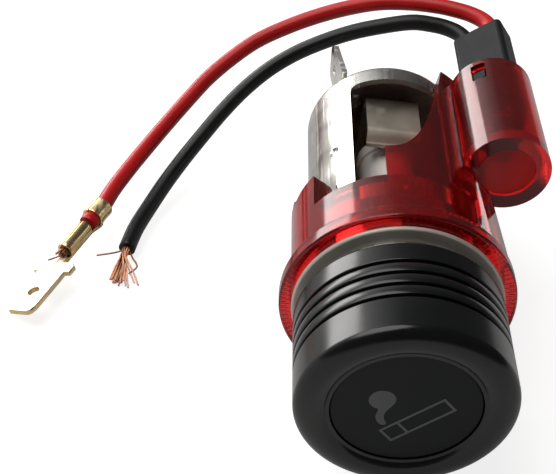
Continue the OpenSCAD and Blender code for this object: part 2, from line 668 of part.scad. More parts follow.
// Black knob: hollow, with four grooves, a rounded front rim and a boss for the spindle
module knob() color("#1c1e20") turned() difference() {
    union() {
        band(0, knob_r, -knob_front + knob_round, -knob_rear);
        band(0, knob_r - knob_round, disc_back, -knob_rear - 1);
        translate([knob_r - knob_round, -knob_front + knob_round]) circle(knob_round);
    }
    band(-1, disc_seat_r, -knob_front - 1, disc_back);
    polygon([[disc_seat_r - eps, disc_face - rim_edge], [disc_seat_r + knob_round / 2, disc_face - rim_edge - 0.65 * knob_round],
        [disc_seat_r - eps, disc_face - rim_edge - 0.65 * knob_round]]);
    band(boss_r, knob_cavity_r, cavity_front, boss_end);
    band(-1, knob_cavity_r, boss_end - eps, -knob_rear + 1);
    band(-1, spindle_r + fit, cavity_front - 0.4, boss_end + 1);
    for (i = [0:3]) band(knob_r - groove_depth, knob_r + 1, first_groove - i * groove_pitch - groove_w / 2,
        first_groove - i * groove_pitch + groove_w / 2);
}

// The cigarette of the symbol, in the disc's plane
module outline_shape() translate([symbol_x, symbol_z]) rotate(symbol_turn) {
    difference() {
        square([symbol_l, symbol_w], center = true);
        square([symbol_l - 2 * symbol_line, symbol_w - 2 * symbol_line], center = true);
    }
    translate([filter_l - symbol_l / 2, 0]) square([symbol_line, symbol_w - symbol_line], center = true);
}

// The smoke of the symbol, in the disc's plane
module smoke_shape() polygon(smoke_points);

// Disc pressed into the knob's front, pocketed for its symbol
module knob_disc() color("#232527") difference() {
    rod(disc_d / 2, disc_face, disc_back);
    slab(disc_face - 1, disc_face + symbol_t) {
        outline_shape();
        smoke_shape();
    }
}

module symbol_outline() color("gray") slab(disc_face, disc_face + symbol_t) outline_shape();

module symbol_smoke() color("gray") slab(disc_face, disc_face + symbol_t) smoke_shape();

module spindle() color("silver") turned() {
    band(0, spindle_r, cavity_front - 0.4, cup_front + cup_base_t);
    band(0, spindle_r + 0.7, cup_front + cup_base_t, cup_front + cup_base_t + 0.6);
}

module stop_washer() color("silver") turned() band(spindle_r + fit, stop_r, stop_y, stop_y + stop_t);

module spacer_bush() color("wheat") turned() band(spindle_r + fit, bush_r, stop_y + stop_t, cup_front);

// Heating cup with its wider rim
module element_cup() color("gainsboro") turned() {
    band(spindle_r + fit, cup_r, cup_front, cup_front + cup_base_t);
    band(cup_r - cup_wall, cup_r, cup_front, cup_back);
    band(cup_r - cup_wall, rim_r, cup_back - rim_l, cup_back);
}

module cup_insulator() color("linen") turned()
    band(pin_r + fit, cup_r - cup_wall - fit, ceramic_back - ceramic_t, ceramic_back);

// Inner radius of the heating ribbon, along its length from 0 to 1
function coil_radius(t) = coil_in + (cup_r - cup_wall - coil_t - coil_in) * t;

// Flat spiral of resistance ribbon, from the centre pin to the cup's wall
module heating_coil() color("dimgray") {
    steps = 24;
    n = coil_turns * steps;
    inner = [for (i = [0 : n]) coil_radius(i / n) * [cos(360 * i / steps), sin(360 * i / steps)]];
    outer = [for (i = [n : -1 : 0]) (coil_radius(i / n) + coil_t) * [cos(360 * i / steps), sin(360 * i / steps)]];
    tail = [[coil_in + coil_t, -coil_t], [pin_r + fit, -coil_t], [pin_r + fit, 0]];
    slab(ceramic_back, coil_back) polygon(concat(inner, outer, tail));
}

module coil_pin() color("silver") turned() {
    band(0, pin_r, ceramic_back - ceramic_t, coil_back);
    band(0, pin_r + 0.5, ceramic_back - ceramic_t - 0.5, ceramic_back - ceramic_t);
}

socket_shell();
earth_tab();
earth_rivet();
live_tab();
outer_insulator();
inner_insulator();
centre_rivet();
contact_clip();
light_ring();
bulb_holder();
bulb();
lamp_contact_red();
lamp_contact_black();
red_lead();
black_lead();
tab_terminal();
red_strands();
black_strands();
plug_sleeve();
return_spring();
knob();
knob_disc();
symbol_outline();
symbol_smoke();
spindle();
stop_washer();
spacer_bush();
element_cup();
cup_insulator();
heating_coil();
coil_pin();
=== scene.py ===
import math

import bmesh
import bpy
from mathutils import Matrix, Vector


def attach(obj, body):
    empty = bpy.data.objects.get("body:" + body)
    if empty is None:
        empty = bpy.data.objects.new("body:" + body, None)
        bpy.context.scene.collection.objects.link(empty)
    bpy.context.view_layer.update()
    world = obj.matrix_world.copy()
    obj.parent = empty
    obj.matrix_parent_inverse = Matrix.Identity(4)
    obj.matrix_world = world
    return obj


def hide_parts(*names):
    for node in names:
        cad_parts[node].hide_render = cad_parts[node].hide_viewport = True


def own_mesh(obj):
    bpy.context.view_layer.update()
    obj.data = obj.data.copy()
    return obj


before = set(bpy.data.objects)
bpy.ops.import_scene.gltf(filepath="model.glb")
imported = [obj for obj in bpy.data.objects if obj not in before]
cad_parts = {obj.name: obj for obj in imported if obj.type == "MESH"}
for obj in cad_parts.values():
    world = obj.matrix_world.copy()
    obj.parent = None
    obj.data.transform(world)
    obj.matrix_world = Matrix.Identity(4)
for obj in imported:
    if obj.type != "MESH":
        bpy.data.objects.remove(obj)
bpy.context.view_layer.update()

# The table and the light
# A white table top in a bright room: the socket lies on its ring's rim, on the tip of its terminal
# and on the end of the black lead, as it was laid down to be photographed.
TABLE = -15.4
MM = 0.001

LENS, CAMERA_AT = 78.16, (-0.027604, -0.114342, 0.106278)
camera = bpy.data.objects.new("camera", bpy.data.cameras.new("camera"))
camera.data.sensor_width = 36
camera.data.lens = LENS
camera.data.clip_start = 0.005
camera_turn = Matrix(((0.991865, -0.104431, -0.072784), (0.013524, 0.655003, -0.755506),
                      (0.126572, 0.748375, 0.651087)))
camera.matrix_world = Matrix.Translation(CAMERA_AT) @ camera_turn.to_4x4()
bpy.context.scene.collection.objects.link(camera)
bpy.context.scene.camera = camera
bpy.context.scene.view_settings.view_transform = "Standard"


def softbox(name, place, aim, size, power, tint):
    """A round window light at a place in metres, so many metres wide and so many watts strong."""
    lamp = bpy.data.lights.new(name, "AREA")
    lamp.shape, lamp.size, lamp.energy, lamp.color = "DISK", size, power, tint
    holder = bpy.data.objects.new(name, lamp)
    holder.location = place
    holder.rotation_euler = (Vector(aim) - Vector(place)).to_track_quat("-Z", "Y").to_euler()
    bpy.context.scene.collection.objects.link(holder)


softbox("window_low", (-0.51, 0.57, 0.125), (0, 0.01, 0), 0.42, 2.5, (1, 0.985, 0.96))
softbox("window_high", (-0.36, 0.1, 0.62), (0, 0.01, 0), 0.7, 3.4, (1, 0.985, 0.96))

def wire_up(tree, *links):
    """Joins sockets in pairs, an output to an input."""
    for a, b in links:
        tree.links.new(a, b)


def fresh_nodes(tree, *kinds):
    """One new shader node of each kind."""
    return [tree.nodes.new("ShaderNode" + kind) for kind in kinds]


# The room is white to the camera and through clear plastic. What lights the part and shines in its
# metal is dim, apart from the side that the daylight comes from.
DAYLIGHT_FROM, ROOM_STRENGTH = (-0.67, 0.72, 0.16), 1.8
ROOM_TONES = ((0, 0.04), (0.4, 0.05), (0.7, 0.11), (0.84, 0.36), (0.96, 0.8))
room = bpy.data.worlds.new("room")
room.use_nodes = True
bpy.context.scene.world = room
net = room.node_tree
net.nodes.clear()
sky_out, seen, lit, rays, ways, pick, sky_at, sky_aim, sky_ramp = fresh_nodes(
    net, "OutputWorld", "Background", "Background", "LightPath", "Math", "MixShader", "TexCoord", "VectorMath",
    "ValToRGB")
seen.inputs["Color"].default_value = (1, 1, 1, 1)
lit.inputs["Strength"].default_value = ROOM_STRENGTH
ways.operation = "MAXIMUM"
sky_aim.operation, sky_aim.inputs[1].default_value = "DOT_PRODUCT", DAYLIGHT_FROM
while len(sky_ramp.color_ramp.elements) < len(ROOM_TONES):
    sky_ramp.color_ramp.elements.new(0.5)
for step, (where, tone) in zip(sky_ramp.color_ramp.elements, ROOM_TONES):
    step.position, step.color = where, (tone, tone, tone, 1)
wire_up(net, (rays.outputs["Is Camera Ray"], ways.inputs[0]), (rays.outputs["Is Transmission Ray"], ways.inputs[1]),
        (sky_at.outputs["Generated"], sky_aim.inputs[0]), (sky_aim.outputs["Value"], sky_ramp.inputs[0]),
        (sky_ramp.outputs["Color"], lit.inputs["Color"]), (ways.outputs[0], pick.inputs[0]),
        (lit.outputs[0], pick.inputs[1]), (seen.outputs[0], pick.inputs[2]), (pick.outputs[0], sky_out.inputs[0]))

# The table shines white to the camera and through clear plastic, and faintly in what is glossy. It
# takes the part's shadow in a grey paint.
TABLE_HALF, TABLE_SHADE, SEEN_GLOW, SHEEN_GLOW = 1.2, 0.5, 0.82, 0.2
table_mesh = bpy.data.meshes.new("table_top")
table_mesh.from_pydata([(x * TABLE_HALF, y * TABLE_HALF, TABLE * MM) for x, y in ((-1, -1), (1, -1), (1, 1), (-1, 1))],
                       [], [(0, 1, 2, 3)])
table_top = bpy.data.objects.new("table_top", table_mesh)
bpy.context.scene.collection.objects.link(table_top)
table_paint = bpy.data.materials.new("table_white")
table_paint.use_nodes = True
net = table_paint.node_tree
net.nodes.clear()
table_out, matt, glow, both, rays, seen_ways, reach, sheen = fresh_nodes(
    net, "OutputMaterial", "BsdfDiffuse", "Emission", "AddShader", "LightPath", "Math", "Math", "Math")
matt.inputs["Color"].default_value = (TABLE_SHADE, TABLE_SHADE, TABLE_SHADE, 1)
seen_ways.operation = "MAXIMUM"
sheen.operation, sheen.inputs[1].default_value = "MULTIPLY", SHEEN_GLOW
reach.operation, reach.inputs[1].default_value = "MULTIPLY_ADD", SEEN_GLOW
wire_up(net, (rays.outputs["Is Camera Ray"], seen_ways.inputs[0]),
        (rays.outputs["Is Transmission Ray"], seen_ways.inputs[1]), (rays.outputs["Is Glossy Ray"], sheen.inputs[0]),
        (seen_ways.outputs[0], reach.inputs[0]), (sheen.outputs[0], reach.inputs[2]),
        (reach.outputs[0], glow.inputs["Strength"]), (matt.outputs[0], both.inputs[0]),
        (glow.outputs[0], both.inputs[1]), (both.outputs[0], table_out.inputs[0]))
table_mesh.materials.append(table_paint)

# The two leads
# Thin stranded copper wires in soft PVC, red for the lamp's feed and black for its return. They
# are pushed into the back of the bulb holder, bend over at once and come down to the table.
LEAD = 2.5
RED_ROUTE = [(15.4, 45, 12.9), (15.4, 47.8, 12.9), (14.6, 50.3, 12.9), (12.7, 52.4, 12.7), (10.2, 53.9, 12.4),
             (7.5, 55.1, 12), (3.7, 56.5, 11.2), (-1.1, 58, 9.7), (-5.8, 59.2, 7.4), (-10.5, 59.9, 4.8),
             (-15.3, 59.6, 2.2), (-19.9, 58.5, -0.4), (-23.8, 56.2, -2.9), (-27.3, 52.9, -5.1), (-30.2, 48.8, -7),
             (-33, 44.1, -8.6), (-35.5, 39.3, -9.8), (-37.8, 34.1, -10.5), (-39.8, 28.9, -11), (-41, 24.4, -11),
             (-42.69, 20.51, -11.36)]
BLACK_ROUTE = [(12.3, 45, 10.3), (12.2, 47.5, 10.4), (11.1, 49.7, 10.5), (9.3, 51.1, 10.5), (6.9, 51.9, 10.4),
               (3.7, 52.5, 10), (-0.6, 52.9, 8.5), (-5.1, 53.3, 6.5), (-9.6, 53.4, 4), (-13.9, 53, 1.3),
               (-17.8, 51.8, -1.5), (-21.4, 49.4, -4.3), (-24.5, 46.1, -6.8), (-27.2, 42.1, -8.8),
               (-29.8, 37.8, -10.6), (-32.1, 33.2, -12), (-34.1, 28.3, -13.1), (-35.7, 23.4, -13.6),
               (-36.6, 18.8, -13.9)]


def eased(route, steps):
    """A curve through every point of a route."""
    p = [Vector(q) for q in route]
    p = [2 * p[0] - p[1]] + p + [2 * p[-1] - p[-2]]
    out = []
    for i in range(1, len(p) - 2):
        for k in range(steps):
            t = k / steps
            out.append(0.5 * (2 * p[i] + (p[i + 1] - p[i - 1]) * t
                              + (2 * p[i - 1] - 5 * p[i] + 4 * p[i + 1] - p[i + 2]) * t * t
                              + (3 * p[i] - p[i - 1] - 3 * p[i + 1] + p[i + 2]) * t ** 3))
    return out + [p[-2]]


def drawn_wire(path, radius, sides=24):
    """Points and faces of a round wire along a path. radius is a number or a function of the share of its length."""
    thick = radius if callable(radius) else (lambda t: radius)
    ahead = [(path[min(i + 1, len(path) - 1)] - path[max(i - 1, 0)]).normalized() for i in range(len(path))]
    side = ahead[0].cross(Vector((0.3, 0.2, 1))).normalized()
    points, faces = [], []
    for i, (at, t) in enumerate(zip(path, ahead)):
        side = (side - t * side.dot(t)).normalized()
        up = side.cross(t)
        r = thick(i / (len(path) - 1))
        for k in range(sides):
            turn = 2 * math.pi * k / sides
            points.append(at + r * (math.cos(turn) * side + math.sin(turn) * up))
        if i:
            a, b = (i - 1) * sides, i * sides
            faces += [(a + k, b + k, b + (k + 1) % sides, a + (k + 1) % sides) for k in range(sides)]
    last = (len(path) - 1) * sides
    faces += [tuple(range(sides)), tuple(last + k for k in reversed(range(sides)))]
    return points, faces


def tilt(angle, axis):
    """A turn of so many degrees about an axis."""
    return Matrix.Rotation(math.radians(angle), 4, axis)


def part(name, points, faces):
    """A mesh from points in millimetres, welded, with its faces turned outwards."""
    mesh = bpy.data.meshes.new(name)
    mesh.from_pydata([Vector(p) * MM for p in points], [], faces)
    made = bpy.data.objects.new(name, mesh)
    bpy.context.scene.collection.objects.link(made)
    work = bmesh.new()
    work.from_mesh(mesh)
    bmesh.ops.remove_doubles(work, verts=work.verts, dist=1e-7)
    bmesh.ops.dissolve_degenerate(work, edges=work.edges, dist=1e-8)
    bmesh.ops.recalc_face_normals(work, faces=work.faces)
    work.to_mesh(mesh)
    work.free()
    return made


def settle(made):
    """Turns a piece's modifiers into plain mesh."""
    bpy.context.view_layer.update()
    mesh = bpy.data.meshes.new_from_object(made.evaluated_get(bpy.context.evaluated_depsgraph_get()))
    made.modifiers.clear()
    old, made.data = made.data, mesh
    bpy.data.meshes.remove(old)


def clean(made, reach=0.002):
    """Joins points that a cut leaves closer than reach, in mm, and drops the slivers between them."""
    mesh = bmesh.new()
    mesh.from_mesh(made.data)
    bmesh.ops.remove_doubles(mesh, verts=mesh.verts, dist=reach * MM)
    bmesh.ops.dissolve_degenerate(mesh, edges=mesh.edges, dist=reach * MM)
    mesh.to_mesh(made.data)
    mesh.free()


def soften(made, edge, sharp=32):
    """Rounds the edges that are sharper than so many degrees, by edge in mm."""
    soft = made.modifiers.new("edge", "BEVEL")
    soft.width, soft.segments, soft.limit_method, soft.angle_limit = edge * MM, 2, "ANGLE", math.radians(sharp)
    settle(made)
    clean(made)


def dress(made, body, nodes, finish, edge=0.0, sharp=32):
    """Breaks a piece's edges, smooths its curved faces, gives it its finish, and seats it on its body."""
    clean(made)
    if edge:
        soften(made, edge, sharp)
    made.data.shade_smooth()
    made.data.set_sharp_from_angle(angle=math.radians(sharp))
    evened = made.modifiers.new("even", "WEIGHTED_NORMAL")
    evened.keep_sharp = True
    settle(made)
    made.data.materials.clear()
    made.data.materials.append(finish)
    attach(made, body)
    if nodes:
        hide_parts(*nodes)
    return made


def effect(name, takes, gives):
    """An empty shader node group with named inputs and outputs."""
    group = bpy.data.node_groups.new(name, "ShaderNodeTree")
    for label, kind, value in takes:
        group.interface.new_socket(label, in_out="INPUT", socket_type=kind).default_value = value
    for label, kind in gives:
        group.interface.new_socket(label, in_out="OUTPUT", socket_type=kind)
    return group, group.nodes.new("NodeGroupInput"), group.nodes.new("NodeGroupOutput")


# The skin of a moulded or extruded surface: slow drifts in colour and gloss with a fine grain on top.
skin, takes, gives = effect("moulded_skin", [
    ("Grain", "NodeSocketFloat", 3000), ("Drift", "NodeSocketFloat", 180),
    ("Colour A", "NodeSocketColor", (0, 0, 0, 1)), ("Colour B", "NodeSocketColor", (1, 1, 1, 1)),
    ("Gloss A", "NodeSocketFloat", 0.3), ("Gloss B", "NodeSocketFloat", 0.5)],
    [("Colour", "NodeSocketColor"), ("Roughness", "NodeSocketFloat"), ("Height", "NodeSocketFloat")])
spot, grain, drift, blend, gloss, spread = fresh_nodes(
    skin, "TexCoord", "TexNoise", "TexNoise", "Mix", "MapRange", "MapRange")
grain.inputs["Detail"].default_value = 3
drift.inputs["Detail"].default_value = 5
blend.data_type = "RGBA"
gloss.inputs["From Min"].default_value, gloss.inputs["From Max"].default_value = 0.3, 0.7
spread.inputs["From Min"].default_value, spread.inputs["From Max"].default_value = 0.32, 0.68
wire_up(skin, (spot.outputs["Object"], grain.inputs["Vector"]), (spot.outputs["Object"], drift.inputs["Vector"]),
        (takes.outputs["Grain"], grain.inputs["Scale"]), (takes.outputs["Drift"], drift.inputs["Scale"]),
        (drift.outputs["Fac"], spread.inputs["Value"]), (spread.outputs["Result"], blend.inputs[0]),
        (takes.outputs["Colour A"], blend.inputs[6]), (takes.outputs["Colour B"], blend.inputs[7]),
        (drift.outputs["Fac"], gloss.inputs["Value"]), (takes.outputs["Gloss A"], gloss.inputs["To Min"]),
        (takes.outputs["Gloss B"], gloss.inputs["To Max"]), (blend.outputs[2], gives.inputs["Colour"]),
        (gloss.outputs["Result"], gives.inputs["Roughness"]), (grain.outputs["Fac"], gives.inputs["Height"]))


def finished(name, layer_kind, settings, bump, depth, plain):
    """A material with colour, gloss and relief from a node group, and its other sockets set plainly."""
    finish = bpy.data.materials.new(name)
    finish.use_nodes = True
    tree = finish.node_tree
    shade = tree.nodes["Principled BSDF"]
    for label, value in plain.items():
        shade.inputs[label.replace("_", " ")].default_value = value
    layer = tree.nodes.new("ShaderNodeGroup")
    layer.node_tree = layer_kind
    for label, value in settings.items():
        layer.inputs[label].default_value = value
    relief = tree.nodes.new("ShaderNodeBump")
    relief.inputs["Strength"].default_value, relief.inputs["Distance"].default_value = bump, depth
    wire_up(tree, (layer.outputs["Colour"], shade.inputs["Base Color"]),
            (layer.outputs["Roughness"], shade.inputs["Roughness"]),
            (layer.outputs["Height"], relief.inputs["Height"]), (relief.outputs["Normal"], shade.inputs["Normal"]))
    return finish


def moulded(name, a, b, gloss, grain=3000, drift=180, bump=0.05, depth=0.00002, **plain):
    """A finish for plastic, fibre or ceramic, between two tones and two values of roughness."""
    settings = {"Grain": grain, "Drift": drift, "Colour A": (*a, 1), "Colour B": (*b, 1),
                "Gloss A": gloss[0], "Gloss B": gloss[1]}
    return finished(name, skin, settings, bump, depth, plain)


red_pvc = moulded("red_pvc", (0.56, 0.008, 0.009), (0.7, 0.013, 0.015), (0.3, 0.42), 900, 90, 0.12,
                  Specular_IOR_Level=0.35, Subsurface_Weight=0.08, Subsurface_Scale=0.001)
black_pvc = moulded("black_pvc", (0.004, 0.0045, 0.005), (0.009, 0.0095, 0.0105), (0.32, 0.46), 900, 90, 0.12,
                    Specular_IOR_Level=0.35)
SWELL, SWELL_AT, SWELL_REACH = 0.16, 0.992, 0.012


def red_swell(t):
    """The red sleeve stands a little proud where the crimp has squeezed it out at its end."""
    return LEAD / 2 + SWELL * max(0.0, 1 - abs(t - SWELL_AT) / SWELL_REACH)


red_path, black_path = eased(RED_ROUTE, 6), eased(BLACK_ROUTE, 6)
red_lead = dress(part("red_lead_sleeve", *drawn_wire(red_path, red_swell)),
                 "socket", ["red_lead"], red_pvc, 0.06, 50)
black_lead = dress(part("black_lead_sleeve", *drawn_wire(black_path, LEAD / 2)),
                   "socket", ["black_lead"], black_pvc, 0.06, 50)

# The red lead's tab terminal
# Stamped from brass strip 0.8 mm thick: a flat blade with shoulders and a latching hole, and two
# crimps rolled round the lead, a wide one on its red sleeve and a narrow one on its bare strands.
CRIMP, CORE = 0.4, 0.75
TAB_W, SHEET, TAB_L, TAB_TWIST, LEAD_IN_TAB = 4.8, 0.8, 23.1, 25, 4.4
LATCH_R, LATCH_BACK, STRIP_W = 0.85, 4.1, 1.8
SHOULDER_AT, SHOULDER_W, SHOULDER_L = 12.6, 6.6, 2
WIDE_CRIMP, NARROW_CRIMP = LEAD / 2 + 0.03 + CRIMP, CORE + 0.03 + CRIMP
tab_ahead = (Vector(RED_ROUTE[-1]) - Vector(RED_ROUTE[-2])).normalized()
tab_at = Vector(RED_ROUTE[-1]) - LEAD_IN_TAB * tab_ahead
tab_turn = (Matrix.Rotation(math.atan2(tab_ahead.y, tab_ahead.x), 4, "Z")
            @ Matrix.Rotation(-math.asin(tab_ahead.z), 4, "Y") @ tilt(TAB_TWIST, "X"))
tab_place = Matrix.Translation(tab_at) @ tab_turn


def stamped(outline, low, high, place):
    """Points and faces of a flat outline cut from sheet between two heights, and set in its place."""
    n = len(outline)
    points = [place @ Vector((x, y, z)) for z in (low, high) for x, y in outline]
    faces = [tuple(reversed(range(n))), tuple(range(n, 2 * n))]
    return points, faces + [(k, (k + 1) % n, n + (k + 1) % n, n + k) for k in range(n)]


def plate(name, *cut):
    """A piece cut from sheet, from what stamped takes."""
    return part(name, *stamped(*cut))


def rolled(radius, wall, gap, start, end, place, steps=40, pinch=0.0):
    """Points and faces of an open barrel round the x axis, with its seam on top."""
    points, faces = [], []
    cuts = 9
    for c in range(cuts):
        x = start + (end - start) * c / (cuts - 1)
        waist = 1 - pinch * math.sin(math.pi * c / (cuts - 1)) ** 2
        for k in range(steps + 1):
            a = math.radians(90 + gap + (360 - 2 * gap) * k / steps)
            for r in (radius - wall, radius):
                dip = waist if r > radius - wall / 2 else 1
                points.append(place @ Vector((x, r * dip * math.cos(a), r * dip * math.sin(a))))
    w = 2 * (steps + 1)
    for c in range(cuts - 1):
        for k in range(steps):
            i = c * w + 2 * k
            faces += [(i, i + 2, i + w + 2, i + w), (i + 1, i + w + 1, i + w + 3, i + 3)]
        for i in (c * w, c * w + w - 2):
            faces.append((i, i + w, i + w + 1, i + 1) if i == c * w else (i, i + 1, i + w + 1, i + w))
    for i0 in (0, (cuts - 1) * w):
        for k in range(steps):
            i = i0 + 2 * k
            faces.append((i, i + 1, i + 3, i + 2))
    return points, faces


def carve(made, tool, how="DIFFERENCE"):
    """Cuts one piece with another, or joins them, and clears the tool away."""
    cut = made.modifiers.new("carve", "BOOLEAN")
    cut.operation, cut.object, cut.solver = how, tool, "EXACT"
    settle(made)
    bpy.data.objects.remove(tool)
    clean(made)


def turned(profile, steps=192, start=0.0, end=360.0):
    """Points and faces of a closed profile of (radius, y) points, turned round the y axis from up towards +X."""
    whole = end - start >= 360
    cuts = steps if whole else steps + 1
    points = []
    for s in range(cuts):
        a = math.radians(start + (end - start) * s / steps)
        points += [Vector((r * math.sin(a), y, r * math.cos(a))) for r, y in profile]
    n = len(profile)
    faces = [(s * n + k, s * n + (k + 1) % n, (s + 1) % cuts * n + (k + 1) % n, (s + 1) % cuts * n + k)
             for s in range(steps) for k in range(n)]
    if not whole:
        faces += [tuple(range(n)), tuple((cuts - 1) * n + k for k in reversed(range(n)))]
    return points, faces


def lathe(name, *profile):
    """A piece turned round the y axis, from what turned takes."""
    return part(name, *turned(*profile))


def circle(x, y, radius, steps):
    """Outline of a round hole."""
    turns = [math.pi * (k / (steps / 2)) for k in range(steps)]
    return [(x + radius * math.cos(a), y + radius * math.sin(a)) for a in turns]


def joined(forms):
    """Points and faces of several forms in one mesh."""
    points, faces = [], []
    for more, sides in forms:
        faces += [tuple(i + len(points) for i in f) for f in sides]
        points += more
    return points, faces


half_tab = [(SHOULDER_AT - 1.2, 0.9), (SHOULDER_AT - 0.1, 1.0), (SHOULDER_AT, SHOULDER_W / 2 - 0.6),
            (SHOULDER_AT + 0.6, SHOULDER_W / 2), (SHOULDER_AT + SHOULDER_L, SHOULDER_W / 2),
            (SHOULDER_AT + SHOULDER_L + 0.1, TAB_W / 2), (TAB_L - 1.3, TAB_W / 2),
            (TAB_L - 0.4, TAB_W / 2 - 0.3), (TAB_L, TAB_W / 2 - 0.8)]
blade_outline = [(x, -y) for x, y in half_tab] + half_tab[::-1]
blade = plate("tab_blade", blade_outline, -NARROW_CRIMP, SHEET - NARROW_CRIMP, tab_place)
carve(blade, plate("hole_punch", circle(TAB_L - LATCH_BACK, 0, LATCH_R, 40), -3, 1, tab_place))
blade_form = [v.co / MM for v in blade.data.vertices], [tuple(f.vertices) for f in blade.data.polygons]
bpy.data.objects.remove(blade)
strip = [(2.2, -WIDE_CRIMP), (3, -WIDE_CRIMP), (5, -NARROW_CRIMP), (SHOULDER_AT - 1, -NARROW_CRIMP),
         (SHOULDER_AT - 1, CRIMP - NARROW_CRIMP), (5, CRIMP - NARROW_CRIMP), (3, CRIMP - WIDE_CRIMP),
         (2.2, CRIMP - WIDE_CRIMP)]
onto_end = tilt(90, "X")
points, faces = joined([blade_form, stamped(strip, -STRIP_W / 2, STRIP_W / 2, tab_place @ onto_end),
                        rolled(WIDE_CRIMP, CRIMP, 3, 0, 3, tab_place, pinch=0.03),
                        rolled(NARROW_CRIMP, CRIMP, 5, 5, 10.6, tab_place, pinch=0.05)])

# Handled sheet metal: a drifting tarnish, and hairline scratches that run along the streak.
rubbed, takes, gives = effect("rubbed_metal", [
    ("Tone A", "NodeSocketColor", (0.5, 0.5, 0.5, 1)), ("Tone B", "NodeSocketColor", (0.8, 0.8, 0.8, 1)),
    ("Gloss A", "NodeSocketFloat", 0.15), ("Gloss B", "NodeSocketFloat", 0.35),
    ("Streak", "NodeSocketVector", (400, 400, 400)), ("Scratch", "NodeSocketFloat", 0.3)],
    [("Colour", "NodeSocketColor"), ("Roughness", "NodeSocketFloat"), ("Height", "NodeSocketFloat")])
spot, stretch, tarnish, hair, tone, gloss, fine, spread, sum_up = fresh_nodes(
    rubbed, "TexCoord", "VectorMath", "TexNoise", "TexNoise", "Mix", "MapRange", "MapRange", "MapRange", "Math")
stretch.operation = "MULTIPLY"
tarnish.inputs["Scale"].default_value, tarnish.inputs["Detail"].default_value = 160, 6
hair.inputs["Scale"].default_value, hair.inputs["Detail"].default_value = 1, 4
tone.data_type, sum_up.operation, sum_up.use_clamp = "RGBA", "MULTIPLY_ADD", True
spread.inputs["From Min"].default_value, spread.inputs["From Max"].default_value = 0.35, 0.65
fine.inputs["From Min"].default_value, fine.inputs["From Max"].default_value = 0.52, 0.62
wire_up(rubbed, (spot.outputs["Object"], stretch.inputs[0]), (takes.outputs["Streak"], stretch.inputs[1]),
        (stretch.outputs["Vector"], hair.inputs["Vector"]), (spot.outputs["Object"], tarnish.inputs["Vector"]),
        (tarnish.outputs["Fac"], spread.inputs["Value"]), (spread.outputs["Result"], tone.inputs[0]),
        (takes.outputs["Tone A"], tone.inputs[6]), (takes.outputs["Tone B"], tone.inputs[7]),
        (spread.outputs["Result"], gloss.inputs["Value"]), (takes.outputs["Gloss A"], gloss.inputs["To Min"]),
        (takes.outputs["Gloss B"], gloss.inputs["To Max"]), (hair.outputs["Fac"], fine.inputs["Value"]),
        (fine.outputs["Result"], sum_up.inputs[0]), (takes.outputs["Scratch"], sum_up.inputs[1]),
        (gloss.outputs["Result"], sum_up.inputs[2]), (tone.outputs[2], gives.inputs["Colour"]),
        (sum_up.outputs[0], gives.inputs["Roughness"]), (hair.outputs["Fac"], gives.inputs["Height"]))


def metal(name, a, b, gloss, streak=(400, 400, 400), bump=0.06, scratch=0.35, **plain):
    """A metal finish: a tarnish that drifts between two tones, and fine scratches that catch the light."""
    settings = {"Tone A": (*a, 1), "Tone B": (*b, 1), "Gloss A": gloss[0], "Gloss B": gloss[1],
                "Streak": streak, "Scratch": scratch}
    return finished(name, rubbed, settings, bump, 0.00002, {"Metallic": 1, **plain})


brass = metal("brass_strip", (0.76, 0.57, 0.28), (0.92, 0.77, 0.46), (0.18, 0.32), (900, 200, 900), 0.12, 0.25)
tab = dress(part("tab_terminal_brass", points, faces), "socket", ["tab_terminal"], brass, 0.1)
# Painted highlight: the flat face on one side of the blade gets a paler brass, standing in for the glare of the window
# that it reflects.
painted_glare = metal("painted_glare_bright", (0.74, 0.68, 0.53), (0.88, 0.83, 0.7), (0.5, 0.6), (900, 200, 900), 0.06, 0.1)
tab.data.materials.append(painted_glare)
tab_face_way = (tab_place.to_3x3() @ Vector((0, 0, 1))).normalized()
for face in tab.data.polygons:
    if (tab_place.inverted() @ (face.center / MM)).x > SHOULDER_AT - 0.5 and face.normal.dot(tab_face_way) > 0.9:
        face.material_index = 1

# The bare copper
# Hair-thin strands, eighteen in the red lead and seventeen in the black. The red lead's are squeezed
# in the narrow crimp and frayed past it; the black lead's are splayed, with one strand hooked back.
STRAND, RED_STRANDS, RED_FROM, RED_RUN, FRAY_FROM, FRAY_OVER = 0.13, 17, 4.2, 7.6, 10.4, 1.4
copper = metal("copper_strand", (0.36, 0.15, 0.08), (0.66, 0.36, 0.23), (0.24, 0.38), (500, 500, 500), 0.05, 0.2)


def bunch(paths):
    """Points and faces of a bunch of strands."""
    return joined([drawn_wire(path, STRAND, 8) for path in paths])


def lay_of(k, n):
    """Where strand k of n lies across the core: an inner ring and an outer ring."""
    inner = k < n // 3
    turn = 2 * math.pi * (k / (n // 3) if inner else (k - n // 3) / (n - n // 3))
    return (0.24 if inner else 0.55), turn


red_paths = []
for k in range(RED_STRANDS):
    r, turn = lay_of(k, RED_STRANDS)
    run = []
    for i in range(15):
        x = RED_FROM + (RED_RUN + 0.35 * math.sin(5.3 * k)) * i / 14
        fray = 1 + 0.55 * max(0.0, (x - FRAY_FROM) / FRAY_OVER) ** 1.5 * (0.6 + 0.4 * math.sin(2.1 * k))
        a = turn + 0.16 * x
        run.append(tab_place @ Vector((x, r * fray * math.cos(a), r * fray * math.sin(a))))
    red_paths.append(run)
red_paths.append(eased([tab_place @ Vector((11.2, 0.3, 0.2)), (-45.9, 14.0, -12.3), (-46.6, 13.3, -12.2),
                        (-47.2, 12.9, -12.2)], 4))
red_copper = dress(part("red_lead_copper", *bunch(red_paths)), "socket", ["red_strands"], copper)

black_end = Vector(BLACK_ROUTE[-1])
black_ahead = (black_end - Vector(BLACK_ROUTE[-2])).normalized()
across = black_ahead.cross(Vector((0, 0, 1))).normalized()
above = across.cross(black_ahead)


def around(r, turn):
    """A step across the black lead, by a radius and an angle."""
    return r * (math.cos(turn) * across + math.sin(turn) * above)


